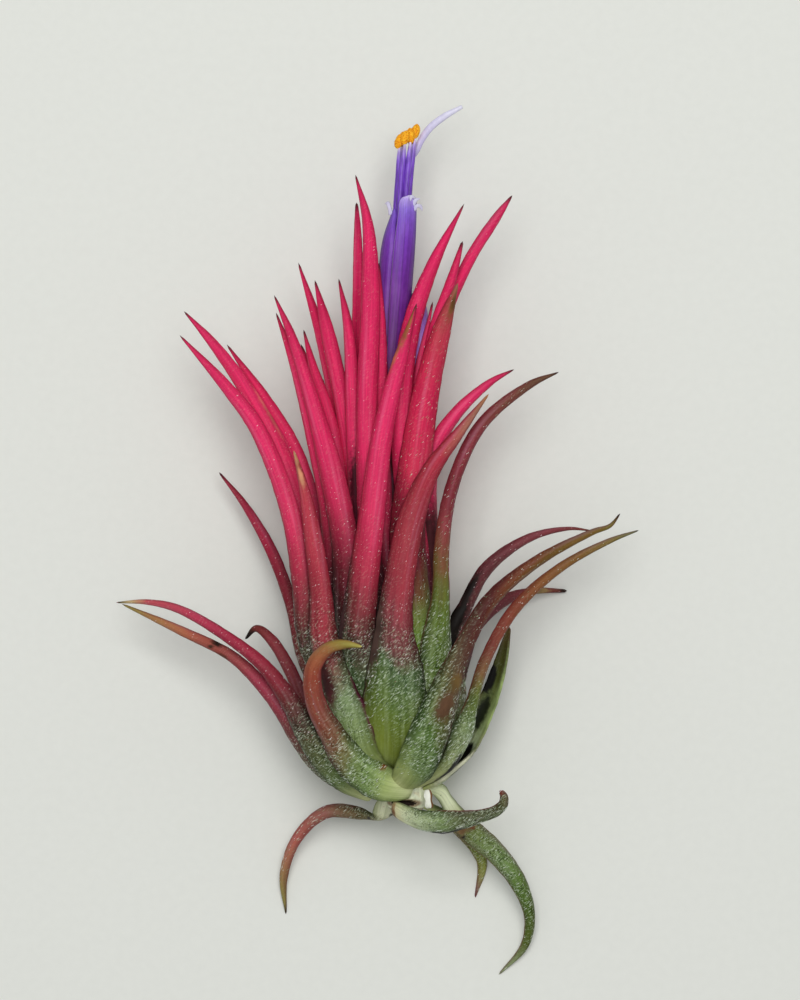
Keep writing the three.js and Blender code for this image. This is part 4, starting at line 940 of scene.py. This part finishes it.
# Withered shreds of the petals' rims that curl from the mouth, for each petal that has any, and their radius
# at the root, along the way and at the tip.
SHREDS = {
    0: [
        [(2.3, 73, 2.3), (2.8, 73.5, 2.6), (3.2, 73.4, 2.4), (3.4, 72.9, 2.2)],
        [(2.2, 73.6, 2.5), (2.6, 74.2, 2.7), (3.1, 74.4, 2.6)],
        [(1.7, 74.2, 2.9), (2.1, 74.6, 3), (2.5, 74.4, 2.8)],
    ],
    2: [[(-0.5, 72.4, 1.9), (-0.7, 73.3, 2.1), (-0.95, 73.9, 1.9), (-1.25, 73.8, 1.7)]],
}
SHRED_ROOT = 0.3
SHRED_WIDE = 0.24
SHRED_TIP = 0.06


def petal_material():
    """Violet and veined, with pale patches of painted light, painted shade on the sides that turn away, and a
    pale rim.
    """
    shader = Shader("petal_violet")
    rise, rim, facing = shader.split(shader.stored("paint")["Vector"])
    strip = shader.stored("strip")["Vector"]
    veins = shader.grain(strip, (0.12, 5, 1), 3)
    colour = shader.ramp(rise, [
        (0, (96, 18, 38)), (0.32, (104, 22, 46)), (0.4, (94, 34, 112)), (0.55, (106, 38, 146)),
        (0.7, (114, 54, 172)), (0.82, (120, 74, 190)), (0.9, (136, 104, 206)), (0.97, (172, 148, 222)),
        (1, (212, 198, 236)),
    ])
    colour = shader.varied(colour, veins, 0.78, 1.16)
    colour = shader.varied(colour, shader.grain(strip, (1.6, 3, 1)), 0.92, 1.08)
    # Pale patches of painted light.
    uneven_light = shader.range(shader.grain(strip, (0.25, 0.5, 1)), 0.5, 0.7, 0, 0.8)
    colour = shader.mix(uneven_light, colour, (0.05, 0.02, 0.07, 1), "SCREEN")
    # Painted shade on the sides of the tube that turn away from the light.
    colour = shader.mix(shader.range(facing, 0.75, 0.1), colour, (0.52, 0.38, 0.6, 1), "MULTIPLY")
    colour = shader.mix(shader.range(rim, -0.93, -1, 0, 0.75), colour, linear((184, 168, 222)))
    shader.bump(veins, 0.0001, 0.6)
    return shader.finish(colour, 0.45, 0.3)


def petal_skin(bearing, arc, tip_start, tip_end, tip_place, bluntness, bend):
    """One petal, with what its material reads: height, place across, how far it faces up, and its strip."""
    shares = np.linspace(0, tip_end, PETAL_STATIONS)
    across = np.linspace(0, 1, PETAL_CORNERS)
    route = spline(COROLLA, shares)
    x, y, z, tube = (column[:, None] for column in route.T)
    past = np.clip((shares - tip_start) / (tip_end - tip_start), 0, 1)[:, None]
    narrow = np.maximum((1 - past**bluntness) ** (1 / bluntness), PETAL_NARROWEST)
    turn = np.radians(bearing - arc * (tip_place + (across - tip_place) * narrow))
    tuck = PETAL_TUCK * smoothstep(across, 0.8, 1) * (1 - smoothstep(shares, 0.82, 1))[:, None]
    edge = 1 - (2 * across - 1) ** 8
    skins = []
    for wall in (0, PETAL_THICKNESS):
        thinned = (PETAL_THICKNESS / 2 - wall) * edge
        radius = tube - tuck - PETAL_THICKNESS / 2 + thinned - bend * past**1.5
        skins.append(layers(x + radius * np.cos(turn), y, z + radius * np.sin(turn)))
    shape, faces = loft(np.concatenate([skins[0], skins[1][:, -2:0:-1]], 1))
    places = np.concatenate([across, across[-2:0:-1]]) * 2 - 1
    facing = np.abs(np.sin(np.concatenate([turn, turn[:, -2:0:-1]], 1)))
    paint = layers(shares[:, None], places, facing)
    strip = layers(y - y[0], places * tube + PETAL_SHIFT * bend, 0)
    return shape, faces, ended(np.concatenate([paint, strip], 2))


def add_petals():
    """Three petals roll round each other."""
    materials = [petal_material(), plain_material("petal_shred", (204, 200, 224), 0.5, 0.3)]
    for index, petal in enumerate(PETALS):
        parts = [petal_skin(*petal)]
        whole = len(parts[0][1])
        for route in SHREDS.get(index, []):
            radii = [SHRED_ROOT] + [SHRED_WIDE] * (len(route) - 2) + [SHRED_TIP]
            shape, faces, _ = rod(route, radii, sides=8, steps=20, flat=0.25)
            parts.append((shape, faces, np.zeros((len(shape), 6))))
        shape, faces, values = joined(parts)
        number = index + 1
        piece = add_piece(
            f"petal_{number}_skin", shape, faces, materials, "petal_violet", f"petal_{number}",
            paint=values[:, :3], strip=values[:, 3:])
        piece.data.polygons.foreach_set("material_index", (np.arange(len(faces)) >= whole).astype(np.int32))


def along_outline(outline, shares):
    """Radius and height at those shares of a half outline's length."""
    lengths = travelled(outline)
    return [np.interp(lengths[-1] * shares, lengths, column) for column in np.transpose(outline)]


# The bud: its half outline as (radius, height along the plant), the route of its middle, and the ridge that
# each petal's edge makes: its share of the radius, how many there are, and how far they wind.
BUD_OUTLINE = [(0, 31.6), (0.45, 31.8), (0.7, 38), (1, 48), (1.2, 55), (1.2, 60), (0.8, 62.5), (0, 63.5)]
BUD_ROUTE = [(1.9, 31.6, 0.6), (2.3, 42, 0.8), (2.9, 52, 1), (3.1, 58, 1.1), (2.8, 63.5, 1.2)]
BUD_RIDGE = 0.06
BUD_PETALS = 3
BUD_WINDING = 1.5


def bud_material():
    """Lilac, with the long veins of its rolled petals and a dusky tip."""
    shader = Shader("bud_violet")
    rise = shader.split(shader.stored("paint")["Vector"])[0]
    veins = shader.grain(shader.stored("strip")["Vector"], (0.1, 3, 1), 3)
    stops = [(0, (170, 150, 180)), (0.6, (164, 118, 196)), (0.86, (150, 104, 190)), (1, (96, 80, 130))]
    shader.bump(veins, 0.0001, 0.6)
    return shader.finish(shader.varied(shader.ramp(rise, stops), veins, 0.86, 1.1), 0.45, 0.35)


def add_bud():
    """The closed bud: its petals wind round it, so that a low ridge climbs in a spiral."""
    rows, sides = 60, 42
    shares = 0.5 - 0.5 * np.cos(np.linspace(0.02, math.pi - 0.02, rows))
    radius, height = (column[:, None] for column in along_outline(BUD_OUTLINE, shares))
    share = (height - height[0]) / (height[-1] - height[0])
    x, _, z = (column[:, None] for column in spline(BUD_ROUTE, share[:, 0]).T)
    turn = math.tau * np.arange(sides) / sides
    ridge = np.mod(turn * BUD_PETALS / math.tau + BUD_WINDING * share, 1)
    wall = radius * (1 - BUD_RIDGE + BUD_RIDGE * ridge**0.5)
    shape, faces = loft(layers(x + wall * np.cos(turn), height, z - wall * np.sin(turn)))
    paint, strip = ended(layers(share, ridge, 0)), ended(layers(height, ridge * wall, 0))
    add_piece("bud_skin", shape, faces, [bud_material()], "petal_violet", "bud", paint=paint, strip=strip)


# The stamens: the filaments' route from inside the tube, how far each stands from it, and their radii. The
# anthers' middles, half sizes, the filament's place in that half, and their lean. Pollen grains stand on
# each, and a furrow runs down it.
FILAMENT_ROUTE = [(0.3, 64, 1.35), (0.75, 71, 1.4), (1, 75, 1.4), (1.2, 77.6, 1.4)]
FILAMENT_RING = 0.72
FILAMENT_RADII = [0.41, 0.41, 0.41, 0.41, 0.33, 0.14]
ANTHERS = [
    (0.55, 81.6, 1.7), (1.25, 82, 2.1), (1.95, 82.3, 1.7), (2.55, 82.8, 1.3), (1.95, 82.2, 0.7),
    (0.95, 81.9, 0.9),
]
ANTHER_HALF = (0.55, 0.95, 0.5)
ANTHER_SEAT = 0.6
ANTHER_LEAN = -0.18
ANTHER_SWING = 0.25
GRAINS = 60
GRAIN_SPREAD = 0.012
GRAIN_HEIGHT = 0.05
MOST_GRAIN = 1.5
FURROW_DEPTH = 0.22
FURROW_WIDTH = 0.22

# The style's route and its radius at each of the route's points.
STYLE_ROUTE = [
    (1, 73, -0.5), (1.3, 76.5, -0.5), (1.9, 79.3, -0.2), (2.7, 80.6, 0), (3.3, 81.9, 0),
    (4.4, 83.4, 0.2), (6.2, 84.8, 0.4), (8.4, 86, 0.6),
]
STYLE_RADII = [0.3, 0.32, 0.36, 0.4, 0.44, 0.45, 0.42, 0.24]


def filament_material():
    shader = Shader("filament_purple")
    rise = shader.split(shader.stored("paint")["Vector"])[0]
    grain = shader.grain(shader.place(), (4000, 500, 4000))
    colour = shader.ramp(rise, [
        (0, (88, 42, 150)), (0.6, (118, 68, 190)), (0.78, (130, 86, 202)), (0.9, (168, 142, 214)),
        (1, (226, 218, 234)),
    ])
    shader.bump(grain, 0.00008, 0.5)
    return shader.finish(shader.varied(colour, grain, 0.7, 1.2), 0.42, 0.4)


def add_filaments():
    """Six filaments run up as a bundle, and each ends in its anther."""
    rods = []
    for index, anther in enumerate(ANTHERS):
        turn = math.tau * (0.5 - index / len(ANTHERS))
        aside = [FILAMENT_RING * math.cos(turn), 0, FILAMENT_RING * math.sin(turn)]
        points = np.array(FILAMENT_ROUTE) + aside
        seat = np.array([anther[0], anther[1] - ANTHER_SEAT * ANTHER_HALF[1], anther[2]])
        rods.append(rod([*points, (points[-1] + seat) / 2, seat], FILAMENT_RADII))
    shape, faces, paint = joined(rods)
    materials = [filament_material()]
    add_piece("filament_bundle", shape, faces, materials, "filament_purple", "filaments", paint=paint)


def anther_material():
    shader = Shader("anther_yellow")
    grains = shader.noise(shader.place(), 5200, 2)
    shader.bump(grains, 0.0001, 1)
    stops = [(0.3, (206, 106, 4)), (0.46, (240, 156, 8)), (0.64, (253, 196, 44))]
    return shader.finish(shader.ramp(grains, stops), 0.7, 0.3)


def ball():
    """A round ball's points and triangles."""
    build = bmesh.new()
    bmesh.ops.create_icosphere(build, subdivisions=4, radius=1)
    build.verts.index_update()
    points = np.array([vertex.co for vertex in build.verts], float)
    faces = np.array([[vertex.index for vertex in face.verts] for face in build.faces])
    build.free()
    return points, faces


def add_anthers():
    """Six anthers, each a furrowed pod rough with pollen."""
    draw = np.random.default_rng(SEEDS["anthers"])
    points, faces = ball()
    pods = []
    for centre in ANTHERS:
        grains = unit(draw.normal(size=(GRAINS, 3)))
        turn = ANTHER_LEAN + draw.uniform(-ANTHER_SWING, ANTHER_SWING)
        near = np.exp(-((1 - points @ grains.T) / GRAIN_SPREAD)).sum(1)
        furrow = FURROW_DEPTH * np.exp(-((points[:, 0] / FURROW_WIDTH) ** 2))
        furrow = furrow * np.maximum(points[:, 2], 0)
        swell = (1 - furrow) * (1 + GRAIN_HEIGHT * np.minimum(near, MOST_GRAIN))
        x, y, z = (points * ANTHER_HALF * swell[:, None]).T
        pods.append(centre + layers(
            x * math.cos(turn) - y * math.sin(turn), x * math.sin(turn) + y * math.cos(turn), z))
    faces = np.vstack([faces + index * len(points) for index in range(len(pods))]).tolist()
    add_piece("anther_cluster", np.vstack(pods), faces, [anther_material()], "anther_yellow", "anthers")


def style_material():
    shader = Shader("style_pale")
    rise = shader.split(shader.stored("paint")["Vector"])[0]
    stops = [(0, (160, 138, 206)), (0.4, (190, 178, 222)), (0.7, (206, 200, 230)), (1, (220, 218, 234))]
    colour = shader.varied(shader.ramp(rise, stops), shader.noise(shader.place(), 2500, 2), 0.94, 1.04)
    return shader.finish(colour, 0.4, 0.4)


def add_style():
    shape, faces, paint = rod(STYLE_ROUTE, STYLE_RADII, sides=14, steps=80, flat=0.7)
    add_piece("style_skin", shape, faces, [style_material()], "style_pale", "style", paint=paint)


# The stem: its half outline as (radius, height along the plant), its rows and how they crowd at the foot,
# how far that leans to the right and up to where, its low lobes, its wall's roughness and least radius.
STEM_OUTLINE = [
    (0, -1.9), (1.9, -1.9), (2.4, -1.2), (2.7, 0.5), (2.8, 5), (2.2, 10), (1.7, 15), (1.2, 21), (0.9, 28),
    (0, 28),
]
STEM_ROWS = 150
STEM_SPACING = 1.7
STEM_LEAN = 1.4
STEM_LEAN_END = 6
STEM_LOBES = 0.03
STEM_ROUGHNESS = 0.03
STEM_LEAST = 0.02

# Its torn foot: middle of the hollow's mouth, half its length and width, and its depth. As shares of that
# size, where its wall falls away and the brown rim's place and width, with the rim's strength. The end
# below which all is torn, how strongly, the brown of what is torn, and the dark painted inside the hollow.
HOLLOW = {"x": 1.1, "y": -0.9, "long": 1.6, "wide": 0.42, "deep": 1}
HOLLOW_EDGE = (1.1, 0.6)
HOLLOW_RIM = {"place": 1.15, "wide": 0.28, "strength": 0.85}
RAGGED_END = -1.55
RAGGED_STRENGTH = 0.6
TORN_BROWN = (112, 74, 44)
HOLLOW_DARK = (38, 27, 20)

# A torn sliver of white tissue stands on the foot: rows and thickness of its bent plate, and its tones.
SLIVER_ROWS = 16
SLIVER_THICKNESS = 0.22
SLIVER_WHITE = (244, 244, 232)
SLIVER_BROWN = (118, 82, 50)


def stem_material():
    """Pale fibrous tissue, brown where it is torn and dark inside the hollow. The mark attribute holds both.
    """
    shader = Shader("stem_bark")
    place = shader.place()
    fibres = shader.grain(place, (2400, 500, 2400), 4)
    stops = [(0.3, (218, 226, 184)), (0.6, (232, 236, 208)), (0.8, (204, 188, 150))]
    colour = shader.varied(shader.ramp(shader.noise(place, 700, 3), stops), fibres, 0.84, 1.08)
    torn = shader.stored("mark")
    shader.bump(fibres, 0.0002, 0.8)
    return shader.finish(shader.mix(torn["Alpha"], colour, torn["Color"]), 0.7, 0.2)


def hollow_distance(x, y):
    return np.hypot((x - HOLLOW["x"]) / HOLLOW["long"], (y - HOLLOW["y"]) / HOLLOW["wide"])


def stem_marks(points):
    """The hollow's dark inside and brown rim, as a colour and a strength at each point."""
    x, y, z = points.T
    far = hollow_distance(x, y)
    colour = np.tile(linear(TORN_BROWN), (len(points), 1))
    rim = HOLLOW_RIM["strength"] * np.exp(-(((far - HOLLOW_RIM["place"]) / HOLLOW_RIM["wide"]) ** 2))
    colour[:, 3] = np.where(z > 0, rim, 0)
    colour[(z > 0) & (far < 1)] = linear(HOLLOW_DARK)
    ragged = y < RAGGED_END
    colour[ragged, 3] = np.maximum(colour[ragged, 3], RAGGED_STRENGTH)
    return colour


def sliver():
    """The sliver, with its colours."""
    share = np.linspace(0, 1, SLIVER_ROWS)
    middle = layers(4.3 - 0.25 * share, -1.5 + 2.3 * share, 2.35 + 0.25 * np.sin(3 * share))
    half = (0.47 + 0.06 * np.sin(11 * share)) * np.sqrt(1 - 0.4 * (2 * share - 1) ** 8)
    side = layers(half, 0.1 * half, -0.25 * half)
    lift = np.array([0, 0, SLIVER_THICKNESS / 2])
    low = [middle + place * side - lift for place in (-1, 0.5, 0.55, 1)]
    high = [middle + place * side + lift for place in (1, 0.55, 0.5, -1)]
    shape, faces = loft(np.stack(low + high, 1), [middle[0], middle[-1]])
    colour = np.tile(linear(SLIVER_WHITE), (len(shape), 1))
    browned = np.tile([False, False, True, True, True, True, False, False], SLIVER_ROWS)
    colour[:-2][browned] = linear(SLIVER_BROWN)
    return shape, faces, colour


def add_stem():
    """The stem, turned and rough, with its hollow foot and the sliver on it."""
    draw = np.random.default_rng(SEEDS["stem"])
    sides = 120
    shares = np.linspace(0, 1, STEM_ROWS) ** STEM_SPACING
    radius, height = (column[:, None] for column in along_outline(STEM_OUTLINE, shares))
    turn = math.tau * np.arange(sides) / sides
    rough = draw.normal(0, STEM_ROUGHNESS, (STEM_ROWS, sides))
    wall = np.maximum(radius * (1 + STEM_LOBES * np.sin(3 * turn + 1)) + rough, STEM_LEAST)
    lean = STEM_LEAN * (1 - smoothstep(height, 0, STEM_LEAN_END))
    pit = smoothstep(hollow_distance(lean + wall * np.cos(turn), height), *HOLLOW_EDGE)
    pit = pit * (np.sin(turn) < 0)
    wall = np.maximum(wall - HOLLOW["deep"] * pit, STEM_LEAST)
    rings = layers(lean + wall * np.cos(turn), height + 0.3 * rough, -wall * np.sin(turn))
    ends = [(lean[end, 0], height[end, 0], 0) for end in (0, -1)]
    shape, faces = loft(rings, ends)
    shape, faces, marks = joined([(shape, faces, stem_marks(shape)), sliver()])
    add_piece("stem_skin", shape, faces, [stem_material()], "stem_bark", "stem", mark=marks)


# The studio, in metres: half the floor's side and its tones, each light's place, size and power, what both
# point at, and the even light all round.
FLOOR_REACH = 4.0
FLOOR_TONES = [(0.3, (224, 225, 218)), (0.7, (226, 227, 220))]
LIGHTS = {"key": ((0.02, 0.15, 0.62), 0.34, 2.6), "fill": ((-0.2, -0.1, 0.6), 0.5, 0.35)}
LIGHTS_AIM = (0.0, 0.0, 0.01)
ROOM_COLOUR = (0.95, 0.98, 1, 1)
ROOM_STRENGTH = 0.34


def add_floor():
    shader = Shader("floor")
    paper = shader.ramp(shader.noise(shader.place(), 900, 2), FLOOR_TONES)
    mesh = bpy.data.meshes.new("floor")
    corners = [(x * FLOOR_REACH, y * FLOOR_REACH, 0) for x, y in ((-1, -1), (1, -1), (1, 1), (-1, 1))]
    mesh.from_pydata(corners, [], [(0, 1, 2, 3)])
    mesh.materials.append(shader.finish(paper, 0.8, 0.2))
    add_object("floor", mesh)


def add_lights():
    world = bpy.data.worlds.new("studio")
    bpy.context.scene.world = world
    world.use_nodes = True
    background = world.node_tree.nodes["Background"]
    background.inputs["Color"].default_value = ROOM_COLOUR
    background.inputs["Strength"].default_value = ROOM_STRENGTH
    for name, (place, size, energy) in LIGHTS.items():
        light = bpy.data.lights.new(name, "AREA")
        light.shape = "SQUARE"
        light.size = size
        light.energy = energy
        lamp = add_object(name, light)
        lamp.location = place
        x, y, z = np.array(LIGHTS_AIM) - np.array(place)
        lamp.rotation_euler = (math.acos(-z / math.hypot(x, y, z)), 0, math.atan2(y, x) - math.pi / 2)


def add_camera():
    camera = bpy.data.cameras.new("camera")
    camera.sensor_fit = "VERTICAL"
    camera.lens = camera.sensor_height * VIEW_HEIGHT / VIEW_TALL
    camera.clip_start, camera.clip_end = 0.01, 20
    seat = add_object("camera", camera)
    seat.location = (FOOT + np.array([*VIEW_CENTRE, VIEW_HEIGHT])) * MM
    bpy.context.scene.camera = seat
    bpy.context.scene.view_settings.view_transform = "Standard"


add_camera()
add_floor()
add_lights()
add_stem()
add_trichomes(add_leaves())
add_petals()
add_bud()
add_filaments()
add_anthers()
add_style()
